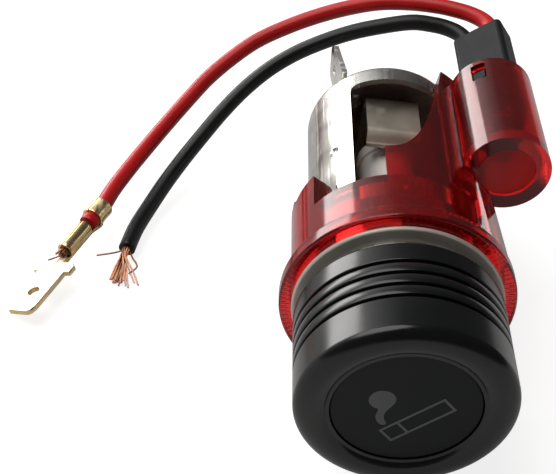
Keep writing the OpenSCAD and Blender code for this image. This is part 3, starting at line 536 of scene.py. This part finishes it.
fan = [(-36.4, 13, -14.9), (-36.8, 12.4, -14.8), (-37.2, 12.7, -15), (-37.7, 12.3, -14.9), (-38.1, 12.9, -14.8),
       (-38.4, 13.2, -15.1), (-36, 12.2, -15.1), (-34.8, 12.9, -15), (-34.2, 12.6, -15.1), (-35.6, 11.9, -15.1),
       (-37, 12.1, -15.1), (-37.9, 12.6, -15.1), (-37.4, 12.2, -14.7), (-36.6, 12.8, -15.1), (-38.2, 13, -14.9)]
black_paths = []
for k, tip in enumerate(fan):
    r, turn = lay_of(k, len(fan))
    root = black_end + around(r, turn)
    neck = black_end + 1.6 * black_ahead + around(0.75 * r, turn + 0.7)
    bow = neck.lerp(Vector(tip), 0.55) + 0.22 * (math.sin(3.1 * k) * across + 0.5 * math.cos(2.3 * k) * above)
    black_paths.append(eased([root - 0.5 * black_ahead, root, neck, bow, tip], 4))
black_paths.append(eased([black_end + Vector((-0.3, -0.2, 0.1)), (-38.2, 17.9, -14), (-40.8, 17.1, -14.2)], 5))
black_paths.append(eased([black_end + Vector((0.4, -0.2, 0)), (-35.5, 17, -14), (-34.9, 16, -14), (-34.8, 15.3, -14.2),
                          (-35.8, 14.3, -14.6)], 5))
black_copper = dress(part("black_lead_copper", *bunch(black_paths)), "socket", ["black_strands"], copper)


# The shell
# One cup of nickel-plated steel, deep-drawn, with a window pierced in its top, a rolled lip at the
# mouth, two raised tangs that lock the light ring and a punched dimple in each side.
BORE, WALL = 10.6, 0.8
SHELL = BORE + WALL
BACK, CORNER, LIP_FRONT, LIP_R, LIP_T, END_HOLE = 37.6, 1.8, -2.9, 13.8, 0.7, 3.1
NECK_ROUND, MOUTH_ROUND, INNER_CORNER = 0.35, 0.6, 1
WINDOW_W, WINDOW_FRONT, WINDOW_BACK, WINDOW_R = 13.3, 5.4, 33.4, 1.4
DIMPLE_R, DIMPLE_DEPTH, DIMPLE_Y = 1.3, 0.35, 20


def sind(angle):
    """The sine of an angle in degrees."""
    return math.sin(math.radians(angle))


def cosd(angle):
    """The cosine of an angle in degrees."""
    return math.cos(math.radians(angle))


def bend(centre, radius, start, end, steps=8):
    """Points of an arc, in degrees from +radius towards +y."""
    angles = [start + (end - start) * k / steps for k in range(steps + 1)]
    return [(centre[0] + radius * cosd(a), centre[1] + radius * sind(a)) for a in angles]


shell_outline = (
    [(END_HOLE, BACK)] + bend((SHELL - CORNER, BACK - CORNER), CORNER, 90, 0, 10)
    + [(SHELL, 30), (SHELL, 20), (SHELL, 10), (SHELL, LIP_FRONT + LIP_T + NECK_ROUND)]
    + bend((SHELL + NECK_ROUND, LIP_FRONT + LIP_T + NECK_ROUND), NECK_ROUND, 180, 270, 4)
    + bend((LIP_R - LIP_T / 2, LIP_FRONT + LIP_T / 2), LIP_T / 2, 90, -90, 8)
    + bend((BORE + MOUTH_ROUND, LIP_FRONT + MOUTH_ROUND), MOUTH_ROUND, 270, 180, 6)
    + [(BORE, 10), (BORE, 20), (BORE, 30)]
    + bend((BORE - INNER_CORNER, BACK - WALL - INNER_CORNER), INNER_CORNER, 0, 90, 8) + [(END_HOLE, BACK - WALL)])
shell = lathe("socket_shell_nickel", shell_outline, 256)


def rounded(w, h, r, at=(0, 0), steps=8):
    """Outline of a rounded rectangle."""
    out = []
    for x, y, start in ((1, 1, 0), (-1, 1, 90), (-1, -1, 180), (1, -1, 270)):
        out += bend((at[0] + x * (w / 2 - r), at[1] + y * (h / 2 - r)), r, start, start + 90, steps)
    return out


def moved(place, points, faces):
    """The same points and faces in another place."""
    return [place @ p for p in points], faces


window = rounded(WINDOW_W, WINDOW_BACK - WINDOW_FRONT, WINDOW_R, (0, (WINDOW_FRONT + WINDOW_BACK) / 2))
carve(shell, plate("window_punch", window, 3, 20, Matrix.Identity(4)))
for angle in (-51.7, 128.3):
    ball = bend((0, 0), DIMPLE_R, -78.75, 78.75, 14)
    lift = tilt(angle, "Y") @ Matrix.Translation((0, DIMPLE_Y, SHELL + DIMPLE_R - DIMPLE_DEPTH))
    carve(shell, part("dimple_punch", *moved(lift, *turned(ball + [(0, DIMPLE_R), (0, -DIMPLE_R)], 32))))
    tang = [(SHELL - 0.2, 7.9), (SHELL + 1, 7.9), (SHELL + 0.95, 8.2), (SHELL, 12.5), (SHELL - 0.2, 12.5)]
    carve(shell, lathe("tang", tang, 12, angle - 5.3, angle + 1.7), "UNION")
nickel = metal("nickel_plate", (0.42, 0.395, 0.36), (0.77, 0.755, 0.72), (0.13, 0.26), (1200, 60, 1200), 0.05, 0.16)
dress(shell, "socket", ["socket_shell"], nickel, 0.08)
# The lip at the mouth gets a rougher copy of the nickel; its paler cream colour and low metallic are painted sheen,
# which makes the lip look brightly lit.
soft_gloss_painted_sheen = metal("lip_soft_gloss_painted_sheen", (0.78, 0.72, 0.62), (0.9, 0.85, 0.77), (0.4, 0.5), (300, 300, 300), 0.08, 0.1, Metallic=0.3)
# Painted shade: the faces inside the bore get a darker, browner and less metallic copy of the nickel, for the shade
# inside the shell; it is also rougher.
rough_painted_shade = metal("bore_rough_painted_shade", (0.34, 0.3, 0.26), (0.5, 0.46, 0.41), (0.46, 0.6), (500, 300, 500), 0.08, 0.1, Metallic=0.6)
shell.data.materials.append(soft_gloss_painted_sheen)
shell.data.materials.append(rough_painted_shade)
for face in shell.data.polygons:
    at = face.center / MM
    if at.y < -1.9:
        face.material_index = 1
    elif math.hypot(at.x, at.z) < BORE + 0.05 and at.y < BACK - WALL + 0.05:
        face.material_index = 2

# What is behind the shell
# Two plated blades for the car's loom: the earth blade riveted flat on the end wall and bent
# back, and the live blade held under the centre rivet, both with a latching hole.
BLADE_W, END_TAB, OUTER_WASHER, LIVE_FOOT_R = 6.3, 8.2, 0.8, 3.3
SPLAY, LEAN, EARTH_X, EARTH_Z = 9.5, -5, -7.6, 2.6
FOOT_X, FOOT_Z, RIVET_X, RIVET_Z = -3.47, 6.6, -5.074, 4.6
plated = metal("plated_blade", (0.66, 0.65, 0.62), (0.88, 0.87, 0.84), (0.2, 0.34), (300, 900, 300), 0.08, 0.25)


def latching_blade(name, length, width, place):
    """A blade cut from sheet in (y, z): the corners of its tip are broken, and its hole is 3 mm from the tip."""
    tip = [(length - 1.2, width), (length - 0.4, width - 0.5), (length, width - 1.1), (length, 1.1),
           (length - 0.4, 0.5), (length - 1.2, 0)]
    made = plate(name, [(0, 0), (0, width)] + tip, 0, SHEET, place)
    carve(made, plate("punch", circle(length - 3, width / 2, LATCH_R, 32), -1, 2, place))
    return made


upright = Matrix(((0, 0, 1, 0), (1, 0, 0, 0), (0, 1, 0, 0), (0, 0, 0, 1)))
earth_root = (Matrix.Translation((EARTH_X, BACK, EARTH_Z + BLADE_W)) @ tilt(SPLAY, "Z")
              @ tilt(LEAN, "Y") @ Matrix.Translation((0, 0, -BLADE_W)))
earth = latching_blade("earth_blade", END_TAB, BLADE_W, earth_root @ upright)
foot_line = [(EARTH_X, EARTH_Z), (FOOT_X, EARTH_Z), (FOOT_X, FOOT_Z), (EARTH_X, FOOT_Z)]
carve(earth, plate("foot", foot_line, -BACK - SHEET, -BACK, onto_end), "UNION")
dress(earth, "socket", ["earth_tab"], plated, 0.06)
rivet_at = Matrix.Translation((RIVET_X, 0, RIVET_Z))
rivet_outline = [(0, BACK - 1.3), (1.0, BACK - 1.3), (1.3, BACK - 1.1), (1.3, BACK - WALL), (0.7, BACK - WALL),
                 (0.7, BACK + SHEET), (1.3, BACK + SHEET), (1.25, BACK + SHEET + 0.25),
                 (0.95, BACK + SHEET + 0.45), (0, BACK + SHEET + 0.5)]
rivet = part("earth_rivet_head", *moved(rivet_at, *turned(rivet_outline, 40)))
dress(rivet, "socket", ["earth_rivet"], plated)

LIVE = BACK + OUTER_WASHER
live_line = [(-BLADE_W / 2, 0), (-BLADE_W / 2, -6), (BLADE_W / 2, -6), (BLADE_W / 2, 0)]
live_line += bend((0, 0), LIVE_FOOT_R, 10, 170, 16)
live = plate("live_foot", live_line, -LIVE - SHEET, -LIVE, onto_end)
lying = Matrix.Translation((-BLADE_W / 2, LIVE, -6)) @ Matrix(((0, 1, 0, 0), (1, 0, 0, 0), (0, 0, 1, 0), (0, 0, 0, 1)))
carve(live, latching_blade("live_blade", END_TAB - 0.8, BLADE_W, lying), "UNION")
dress(live, "socket", ["live_tab"], plated, 0.06)

# The centre contact
# A brass rivet through two brown fibre washers carries the live blade outside and, inside, the
# springy bimetal clip whose two arms hold the heating cup.
CLIP_W, CLIP_T, CLIP_REACH, CLIP_BEND, CLIP_FACE, CLIP_TIP = 7.8, 0.5, 7.2, 1.2, 35.0, 24.4
RIVET_BORE = 1.52
fibre = moulded("brown_fibre", (0.16, 0.075, 0.03), (0.3, 0.16, 0.075), (0.6, 0.8), 2500, 400, 0.25)
outer_washer = [(3.02, BACK), (4.0, BACK), (4.0, LIVE), (3.02, LIVE)]
inner_washer = [(RIVET_BORE, CLIP_FACE), (5.4, CLIP_FACE), (5.4, BACK - WALL), (3.0, BACK - WALL), (3.0, LIVE),
                (RIVET_BORE, LIVE)]
dress(lathe("outer_fibre_washer", outer_washer, 96), "socket", ["outer_insulator"], fibre, 0.08)
dress(lathe("inner_fibre_washer", inner_washer, 96), "socket", ["inner_insulator"], fibre, 0.08)
centre = [(0, 33.6), (1.8, 33.6), (2.6, 33.85), (2.9, 34.3), (2.9, 34.5), (1.5, 34.5), (1.5, 39.2), (2.9, 39.2),
          (2.9, 39.45), (2.5, 39.85), (1.7, 40.1), (0, 40.1)]
dress(lathe("centre_rivet_brass", centre, 96), "socket", ["centre_rivet"], brass, 0.05)

clip_corner = (CLIP_FACE - CLIP_BEND, CLIP_REACH - CLIP_BEND)
curl_outside = [(2.6, 0), (1.9, 0.2), (1.3, 0.85), (0.8, 1.5), (0.35, 1.5), (0, 1.2)]
curl_inside = [(0, 1.7), (0.4, 2.05), (0.9, 2.05), (1.5, 1.6), (2.1, 0.75), (2.7, CLIP_T)]
half_clip = (bend(clip_corner, CLIP_BEND, 0, 90, 8)
             + [(CLIP_TIP + y, CLIP_REACH - z) for y, z in curl_outside + curl_inside]
             + bend(clip_corner, CLIP_BEND - CLIP_T, 90, 0, 8))
strip_line = half_clip + [(y, -z) for y, z in reversed(half_clip)]
clip = plate("contact_clip_bimetal", strip_line, -CLIP_W / 2, CLIP_W / 2, upright)
punch_line = [(0, 33), (RIVET_BORE, 33), (RIVET_BORE, 36), (0, 36)]
carve(clip, lathe("rivet_punch", punch_line, 48))
bimetal = metal("clip_bimetal", (0.44, 0.4, 0.34), (0.58, 0.53, 0.45), (0.5, 0.62), (500, 300, 500), 0.06, 0.1)
dress(clip, "socket", ["contact_clip"], bimetal, 0.06)

# The light ring
# One moulding in clear red plastic. Its flange sits on the dashboard, the skirt snaps over the
# shell's tangs, and the tall riser carries light from the lamp tube on its side to the flange.
RING_R, RING_T, SKIRT, RING_BORE = 15.4, 2.2, 13.8, 11.5
LOW, HIGH, SHOULDER, TIP = 7.9, 15, 14.1, 35.2
LAMP_OFF, LAMP_ANGLE, LAMP_R, LAMP_BORE = 17.8, 50, 5.95, 4.9
LAMP_FRONT, LAMP_BACK = 13.6, 32.7
RISER_FROM, RISER_STEP, TIP_ANGLE, RISER_CURVE, STEP, RIM = -14, 21.5, 26.8, 2.15, 0.4, 0.4
HIGH_FROM, HIGH_TO, LOW_FROM, OVERLAP = -150, -59.3, 64, 1
RECESS_R, RECESS_DEPTH, NOTCHES, GUSSET_FROM, GUSSET_TO = 3.9, 0.5, 120, 30, 70
lamp_turn = tilt(LAMP_ANGLE, "Y")
lamp_place = lamp_turn @ Matrix.Translation((0, 0, LAMP_OFF))


def wedge(start, end, y):
    """What is cut from the skirt between two angles, from one height on."""
    rim = [(40 * sind(a), -40 * cosd(a)) for a in (start + (end - start) * i / 4 for i in range(5))]
    heel = [(7 * sind(a), -7 * cosd(a)) for a in (end, start)]
    return plate("skirt_cut", rim + heel, y, TIP + 2, tilt(-90, "X"))


def rod(radius, y0, y1, place=Matrix.Identity(4), steps=96):
    """A round bar along y."""
    return part("rod", *moved(place, *turned([(0, y0), (radius, y0), (radius, y1), (0, y1)], steps)))


def block(x0, x1, y0, y1, z0, z1, place=Matrix.Identity(4)):
    """A square bar between six sides."""
    return plate("block", [(x0, y0), (x1, y0), (x1, y1), (x0, y1)], z0, z1, place)


ring = lathe("light_ring_red", [(0, -1), (SKIRT, -1), (SKIRT, TIP), (0, TIP)], 256)
step_line = [(9, LOW), (SKIRT + STEP, LOW), (SKIRT + STEP, TIP - 0.5), (9, TIP - 0.5)]
carve(ring, lathe("step", step_line, 40, RISER_STEP, LAMP_ANGLE), "UNION")
for start, end, y in ((HIGH_TO, RISER_FROM, LOW), (LOW_FROM, 360 + HIGH_FROM, LOW),
                      (HIGH_FROM - OVERLAP, HIGH_TO + OVERLAP, HIGH)):
    carve(ring, wedge(start, end, y))
middle = (RISER_FROM + TIP_ANGLE) / 2
u0, u1 = SKIRT * sind(RISER_FROM + 5 - middle), SKIRT * sind(TIP_ANGLE - middle)
slope = [(u0 + (u1 - u0) * i / 32, SHOULDER + (TIP - SHOULDER) * (i / 32) ** RISER_CURVE) for i in range(33)]
riser_cut = [(-14, TIP + 5), (-14, SHOULDER)] + slope + [(u1, TIP + 5)]
carve(ring, plate("riser_cut", riser_cut, 0, 40, tilt(middle, "Y")))
carve(ring, block(-2.6, 25, LAMP_BACK, 60, -LAMP_OFF, 20, lamp_place))
flange = bend((RING_R - RIM, -RING_T + RIM), RIM, 270, 360, 5) + bend((RING_R - RIM, -RIM), RIM, 0, 90, 5)
carve(ring, lathe("flange", [(0, -RING_T)] + flange + [(0, 0)], 256), "UNION")
carve(ring, rod(LAMP_R, LAMP_FRONT, LAMP_BACK, lamp_place), "UNION")
gusset = [(-1.1, 11.1), (-1.1, 15), (0, 15), (LAMP_FRONT + 1, 14.2), (LAMP_FRONT + 1, 11.1)]
carve(ring, plate("gusset", gusset, -2.5, 2.5, lamp_turn @ upright), "UNION")
carve(ring, rod(RING_BORE, -4, 40, steps=256))
carve(ring, rod(RECESS_R, LAMP_FRONT - 1, LAMP_FRONT + RECESS_DEPTH, lamp_place))
carve(ring, rod(LAMP_BORE, 16, 40, lamp_place))
carve(ring, block(-8, -4.5, 28.3, 31.8, -0.35, 1.75, lamp_place))
soften(ring, 0.09)


def add_notch(mesh, turn, half, y_open, y_tip, r_from):
    """A three-sided wedge that cuts one serration in the flange, out from one radius."""
    corners = [mesh.verts.new(turn @ (Vector((x, y, z)) * MM)) for z in (r_from, RING_R + 1)
               for x, y in ((-half, y_open), (half, y_open), (0, y_tip))]
    for f in ((0, 1, 2), (3, 5, 4), (0, 3, 4, 1), (1, 4, 5, 2), (2, 5, 3, 0)):
        mesh.faces.new([corners[k] for k in f])


notches = bmesh.new()
for i in range(NOTCHES):
    turn = Matrix.Rotation(2 * math.pi * i / NOTCHES, 4, "Y")
    add_notch(notches, turn, 0.17, -3, -RING_T + 0.16, LIP_R + 0.15)
    if not GUSSET_FROM < 360 * i / NOTCHES < GUSSET_TO:
        add_notch(notches, turn, 0.2, 0.6, -0.3, SKIRT + 0.6)
bmesh.ops.recalc_face_normals(notches, faces=notches.faces)
notch_mesh = bpy.data.meshes.new("notches")
notches.to_mesh(notch_mesh)
notches.free()
notch_tool = bpy.data.objects.new("notches", notch_mesh)
bpy.context.scene.collection.objects.link(notch_tool)
carve(ring, notch_tool)
clear_red = moulded("clear_red", (0.42, 0.007, 0.008), (0.48, 0.01, 0.01), (0.08, 0.16), 500, 120, 0.02,
                    Transmission_Weight=0.92, IOR=1.49, Specular_IOR_Level=0.3)
dress(ring, "socket", ["light_ring"], clear_red)
frosted_red = moulded("frosted_red", (0.5, 0.016, 0.01), (0.6, 0.03, 0.016), (0.4, 0.5), 900, 200, 0.05,
                      Transmission_Weight=0.6, IOR=1.49)
ring.data.materials.append(frosted_red)
from_lamp = lamp_place.inverted()
for face in ring.data.polygons:
    at = from_lamp @ (face.center / MM)
    if math.hypot(at.x, at.z) < RECESS_R - 0.05 and LAMP_FRONT - 0.1 < at.y < LAMP_FRONT + 0.7:
        face.material_index = 1

# The bulb holder
# A flat plug in dark grey plastic. Its round spigot pushes into the lamp tube, where a small nub
# clicks into the slot; it carries the wedge bulb and two brass leaves that end the leads.
HOLDER_BACK, SPIGOT, SPIGOT_FRONT = 46.5, 4.8, 25.7
RED_HOLE, BLACK_HOLE = 2.3, -1.8
stand = lamp_place @ onto_end
holder = plate("bulb_holder_grey", rounded(4.8, 7.9, 0.8, (0, 0.45)), -HOLDER_BACK, -LAMP_BACK + 1, stand)
carve(holder, rod(SPIGOT, SPIGOT_FRONT, LAMP_BACK - 0.7, lamp_place), "UNION")
carve(holder, block(-5.75, -4.4, 28.5, 30.1, -0.15, 1.55, lamp_place), "UNION")
for z in (RED_HOLE, BLACK_HOLE):
    carve(holder, rod(1.42, 45, 48, lamp_place @ Matrix.Translation((0, 0, z)), 40))
carve(holder, block(-0.95, 0.95, 20, 30.75, -2.45, 2.45, lamp_place))
for z0, z1 in ((2.0, 2.45), (-2.45, -2.0)):
    carve(holder, block(-1.25, 1.25, 26, 45, z0, z1, lamp_place))
grey = moulded("holder_grey", (0.009, 0.0098, 0.0106), (0.016, 0.017, 0.018), (0.46, 0.6), 3400, 160, 0.7, 0.00005,
               Specular_IOR_Level=0.15)
dress(holder, "socket", ["bulb_holder"], grey, 0.22)
for name, z0, z1 in (("red", 2.0, 2.4), ("black", -2.4, -2.0)):
    leaf = block(-1.2, 1.2, 26.2, 44.95, z0, z1, lamp_place)
    dress(leaf, "socket", ["lamp_contact_" + name], brass, 0.05)
    leaf.name = "lamp_leaf_" + name
BULB_R, BULB_AT = 2.3, 20
bulb_profile = [(0, 17.7)] + bend((0, BULB_AT), BULB_R, -80, 0, 8)
bulb_profile += [(BULB_R, 24.6), (2.1, 25.2), (1.6, 25.5), (0, 25.5)]
bulb = part("lamp_bulb_glass", *moved(lamp_place, *turned(bulb_profile, 64)))
carve(bulb, block(-0.9, 0.9, 25, 30.7, -2, 2, lamp_place), "UNION")
glass = moulded("bulb_glass", (0.93, 0.95, 0.96), (0.97, 0.98, 0.98), (0.02, 0.05), 300, 60, 0.01,
                Transmission_Weight=1.0, IOR=1.45)
dress(bulb, "socket", ["bulb"], glass, 0.05)

# The plug's sleeve and spring
# A short tube of nickel-plated steel that guides the plug in the bore. Inside, a coil spring
# presses between its partition and the knob, and pushes the knob back out when it lets go.
SLEEVE, SLEEVE_WALL, PARTITION_FRONT, PARTITION_BACK, PARTITION_HOLE = 10.3, 0.6, 4, 4.8, 1.58
SLEEVE_BORE = SLEEVE - SLEEVE_WALL
sleeve_outline = [(SLEEVE_BORE, -3.4), (11.75, -3.4), (11.9, -3.25), (11.9, -3.05), (11.75, -2.9), (SLEEVE, -2.9),
                  (SLEEVE, 10.8), (SLEEVE - 0.2, 11), (SLEEVE_BORE, 11), (SLEEVE_BORE, PARTITION_BACK),
                  (PARTITION_HOLE, PARTITION_BACK), (PARTITION_HOLE, PARTITION_FRONT), (SLEEVE_BORE, PARTITION_FRONT)]
sleeve = lathe("plug_sleeve_nickel", sleeve_outline, 192)
pip_outline = [(0, -1)] + bend((0, 0), 1, -75, 75, 10) + [(0, 1)]
for angle in (0, 120, 240):
    lift = tilt(angle, "Y") @ Matrix.Translation((0, 8.5, 9.55))
    carve(sleeve, part("pip", *moved(lift, *turned(pip_outline, 24))), "UNION")
carve(sleeve, rod(SLEEVE_BORE, PARTITION_BACK, 13, steps=192))
dress(sleeve, "plug", ["plug_sleeve"], nickel, 0.05)

SPRING_R, SPRING_WIRE, TURNS, SPRING_FRONT, SPRING_BACK = 4.5, 0.7, 7, -16.5, 4


def spring_rise(t, total):
    """How far along the spring the wire is after t turns: its end turns are closed."""
    if t < 1:
        return SPRING_WIRE * t
    if t > TURNS - 1:
        return total - SPRING_WIRE * (TURNS - t)
    return SPRING_WIRE + (total - 2 * SPRING_WIRE) * (t - 1) / (TURNS - 2)


reach = SPRING_BACK - SPRING_FRONT - SPRING_WIRE
coil_path = []
for t in (i / 32 for i in range(32 * TURNS + 1)):
    y = SPRING_FRONT + SPRING_WIRE / 2 + spring_rise(t, reach)
    coil_path.append(Vector((SPRING_R * math.sin(2 * math.pi * t), y, SPRING_R * math.cos(2 * math.pi * t))))
spring_steel = metal("spring_wire", (0.4, 0.41, 0.42), (0.66, 0.67, 0.68), (0.22, 0.34), (300, 300, 300), 0.05, 0.2)
spring = dress(part("return_spring_wire", *drawn_wire(coil_path, 0.34, 14)),
               "plug_core", ["return_spring"], spring_steel, 0, 50)
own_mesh(spring)

# The knob
# Moulded in black plastic with a satin skin: a rounded front rim, four grooves to grip, and a
# disc pressed into its front that carries the usual lit-cigarette sign in grey print.
KNOB, KNOB_FRONT, KNOB_REAR, INSIDE, RIM_W, RIM_L = 13.55, -20.5, -5, 12.25, 2.3, 1.6
DISC_FACE, DISC_BACK, DISC_SEAT, SPINDLE_BORE, SPINDLE_END = -19.6, -18.4, 9.2, 1.52, -16.9
GROOVES, GROOVE = [-8.31, -10.26, -12.21, -14.16], [(0, 0.42), (0.05, 0.31), (0.2, 0.26), (0.5, 0.2)]
knob_outline = [(SPINDLE_BORE, SPINDLE_END), (SPINDLE_BORE, -10.0), (3.1, -10.0), (3.1, SPRING_FRONT),
                (INSIDE, SPRING_FRONT), (INSIDE, KNOB_REAR), (KNOB - 0.35, KNOB_REAR)]
knob_outline += bend((KNOB - 0.35, KNOB_REAR - 0.35), 0.35, 90, 0, 4)
for y in GROOVES:
    knob_outline += [(KNOB - d, y + h) for d, h in GROOVE] + [(KNOB - d, y - h) for d, h in reversed(GROOVE)]
knob_outline += [(KNOB - RIM_W + RIM_W * cosd(a), KNOB_FRONT + RIM_L - RIM_L * sind(a)) for a in range(0, 90, 5)]
knob_outline += bend((KNOB - RIM_W, KNOB_FRONT + RIM_W), RIM_W, -90, -134, 8)
knob_outline += [(DISC_SEAT, DISC_FACE - 0.2), (DISC_SEAT, DISC_BACK), (0, DISC_BACK), (0, SPINDLE_END)]
knob_skin = moulded("knob_black", (0.004, 0.0045, 0.005), (0.007, 0.0075, 0.008), (0.16, 0.25), 4200, 140, 0.2,
                    Specular_IOR_Level=0.48)
dress(lathe("knob_black", knob_outline, 256), "plug_core", ["knob"], knob_skin, 0, 28)

disc_outline = [(0, DISC_FACE), (9.0, DISC_FACE), (9.14, DISC_FACE + 0.15), (9.14, DISC_BACK), (0, DISC_BACK)]
disc_skin = moulded("disc_black", (0.008, 0.0095, 0.0095), (0.013, 0.0145, 0.015), (0.45, 0.55), 6000, 200, 0.3,
                    Specular_IOR_Level=0.22)
dress(lathe("knob_disc_black", disc_outline, 192), "plug_core", ["knob_disc"], disc_skin, 0, 28)

sign_at, sign_turn = (1.67, -1.8), math.radians(44.8)
print_low, print_high = -DISC_FACE - 0.15, -DISC_FACE + 0.02


def along_sign(x, z):
    """A point of the sign, turned as it is printed."""
    return (sign_at[0] + x * math.cos(sign_turn) - z * math.sin(sign_turn),
            sign_at[1] + x * math.sin(sign_turn) + z * math.cos(sign_turn))


def inked(name, outlines):
    """A thin print on the disc."""
    return part(name, *joined([stamped(outline, print_low, print_high, onto_end) for outline in outlines]))


LONG, WIDE, LINE = 9.5 / 2, 2.6 / 2, 0.34
TIP_LINE = 2.6 - LONG
bars = [(-LONG, LONG, WIDE - LINE, WIDE), (-LONG, LONG, -WIDE, LINE - WIDE),
        (-LONG, LINE - LONG, LINE - WIDE, WIDE - LINE), (LONG - LINE, LONG, LINE - WIDE, WIDE - LINE),
        (TIP_LINE - LINE / 2, TIP_LINE + LINE / 2, LINE - WIDE, WIDE - LINE)]
frame_lines = [[along_sign(x, z) for x, z in ((x0, z0), (x1, z0), (x1, z1), (x0, z1))] for x0, x1, z0, z1 in bars]
ink = moulded("sign_grey", (0.14, 0.147, 0.147), (0.18, 0.187, 0.187), (0.5, 0.62), 5000, 260, 0.2)
dress(inked("sign_outline", frame_lines), "plug_core", ["symbol_outline"], ink)
smoke = bend((-3.12, 1.22), 1.62, -15, 260, 25)
smoke += [(-3.3, -0.75), (-3.43, -1.3), (-3.42, -1.9), (-3.2, -2.5), (-2.85, -2.95), (-2.4, -3.2), (-2, -3.1),
          (-1.95, -2.75), (-2.22, -2.35), (-2.42, -1.8), (-2.45, -1.2), (-2.3, -0.6), (-2.05, -0.2), (-1.8, 0.3)]
dress(inked("sign_smoke", [smoke]), "plug_core", ["symbol_smoke"], ink)

# The heating end
# A steel spindle from the knob carries a stop washer, a ceramic bush and the nickel-plated cup,
# in which a flat spiral of resistance ribbon is welded between the cup and a ceramic core's pin.
SPINDLE, CUP_FRONT, CUP_BACK, CUP_R, CORE_R, PIN_BORE = 1.5, 15, 28.6, 3.9, 3.53, 0.57
spindle = [(0, SPINDLE_END), (SPINDLE, SPINDLE_END), (SPINDLE, 15.8), (2.1, 15.8), (2.2, 16), (1.9, 16.4), (0, 16.4)]
dress(lathe("spindle_steel", spindle, 64), "plug_core", ["spindle"], plated, 0.04)
washer = [(SPINDLE_BORE, 4.85), (3.4, 4.85), (3.4, 5.65), (SPINDLE_BORE, 5.65)]
dress(lathe("stop_washer_steel", washer, 96), "plug_core", ["stop_washer"], plated, 0.08)
ceramic = moulded("white_ceramic", (0.66, 0.63, 0.56), (0.8, 0.78, 0.72), (0.55, 0.75), 2200, 300, 0.25)
bush = [(SPINDLE_BORE, 5.65), (2.7, 5.65), (2.7, CUP_FRONT), (SPINDLE_BORE, CUP_FRONT)]
dress(lathe("spacer_bush_ceramic", bush, 96), "plug_core", ["spacer_bush"], ceramic, 0.15)
cup_rim = (4.0, 2.25), (4.2, 2.2), (4.3, 2.05), (4.3, 1.65), (4.2, 1.5), (4.3, 1.35), (4.3, 0.2), (4.15, 0), (3.55, 0)
cup_outline = ([(SPINDLE_BORE, CUP_FRONT), (3.5, CUP_FRONT)] + bend((3.5, 15.4), 0.4, 270, 360, 5)
               + [(CUP_R, CUP_BACK - 2.5)] + [(r, CUP_BACK - y) for r, y in cup_rim]
               + [(3.55, 15.8), (SPINDLE_BORE, 15.8)])
# Painted reflection: the nickel cup gets a pale, non-metallic white, which stands in for the bright reflection of its
# plating and keeps it bright in the shade of the shell.
cup_nickel_painted_reflection = metal("cup_nickel_painted_reflection", (0.9, 0.87, 0.82), (0.97, 0.95, 0.91), (0.36, 0.46), (200, 200, 200), 0.06, 0.1,
                   Metallic=0.0)
dress(lathe("element_cup_nickel", cup_outline, 144), "plug_core", ["element_cup"], cup_nickel_painted_reflection, 0.03)
core_front, core_back = CUP_BACK - 3.7, CUP_BACK - 1.7
core_line = [(PIN_BORE, core_front), (CORE_R, core_front), (CORE_R, core_back), (PIN_BORE, core_back)]
dress(lathe("cup_core_ceramic", core_line, 96), "plug_core", ["cup_insulator"], ceramic, 0.1)
RIBBON, INNER_TURN, OUTER_TURN = 0.32, 0.9, 3.23
spiral_in, spiral_out = [], []
for i in range(145):
    a, r = 2 * math.pi * i / 48, INNER_TURN + (OUTER_TURN - INNER_TURN) * i / 144
    for line, out in (spiral_in, r), (spiral_out, r + RIBBON):
        line.append((out * math.cos(a), out * math.sin(a)))
tail = [(INNER_TURN + RIBBON, -RIBBON), (PIN_BORE, -RIBBON), (PIN_BORE, 0)]
ribbon_line = spiral_in + spiral_out[::-1] + tail
oxide = metal("oxidised_ribbon", (0.09, 0.08, 0.08), (0.2, 0.18, 0.17), (0.5, 0.7), (900, 900, 900), 0.2, 0.2)
dress(plate("heating_ribbon", ribbon_line, 0.3 - CUP_BACK, -core_back, onto_end),
      "plug_core", ["heating_coil"], oxide, 0.03)
pin = [(0, core_front - 0.5), (1.0, core_front - 0.5), (1.05, core_front - 0.4), (1.05, core_front),
       (0.55, core_front), (0.55, CUP_BACK - 0.4), (0.45, CUP_BACK - 0.3), (0, CUP_BACK - 0.3)]
dress(lathe("coil_pin_steel", pin, 40), "plug_core", ["coil_pin"], plated)
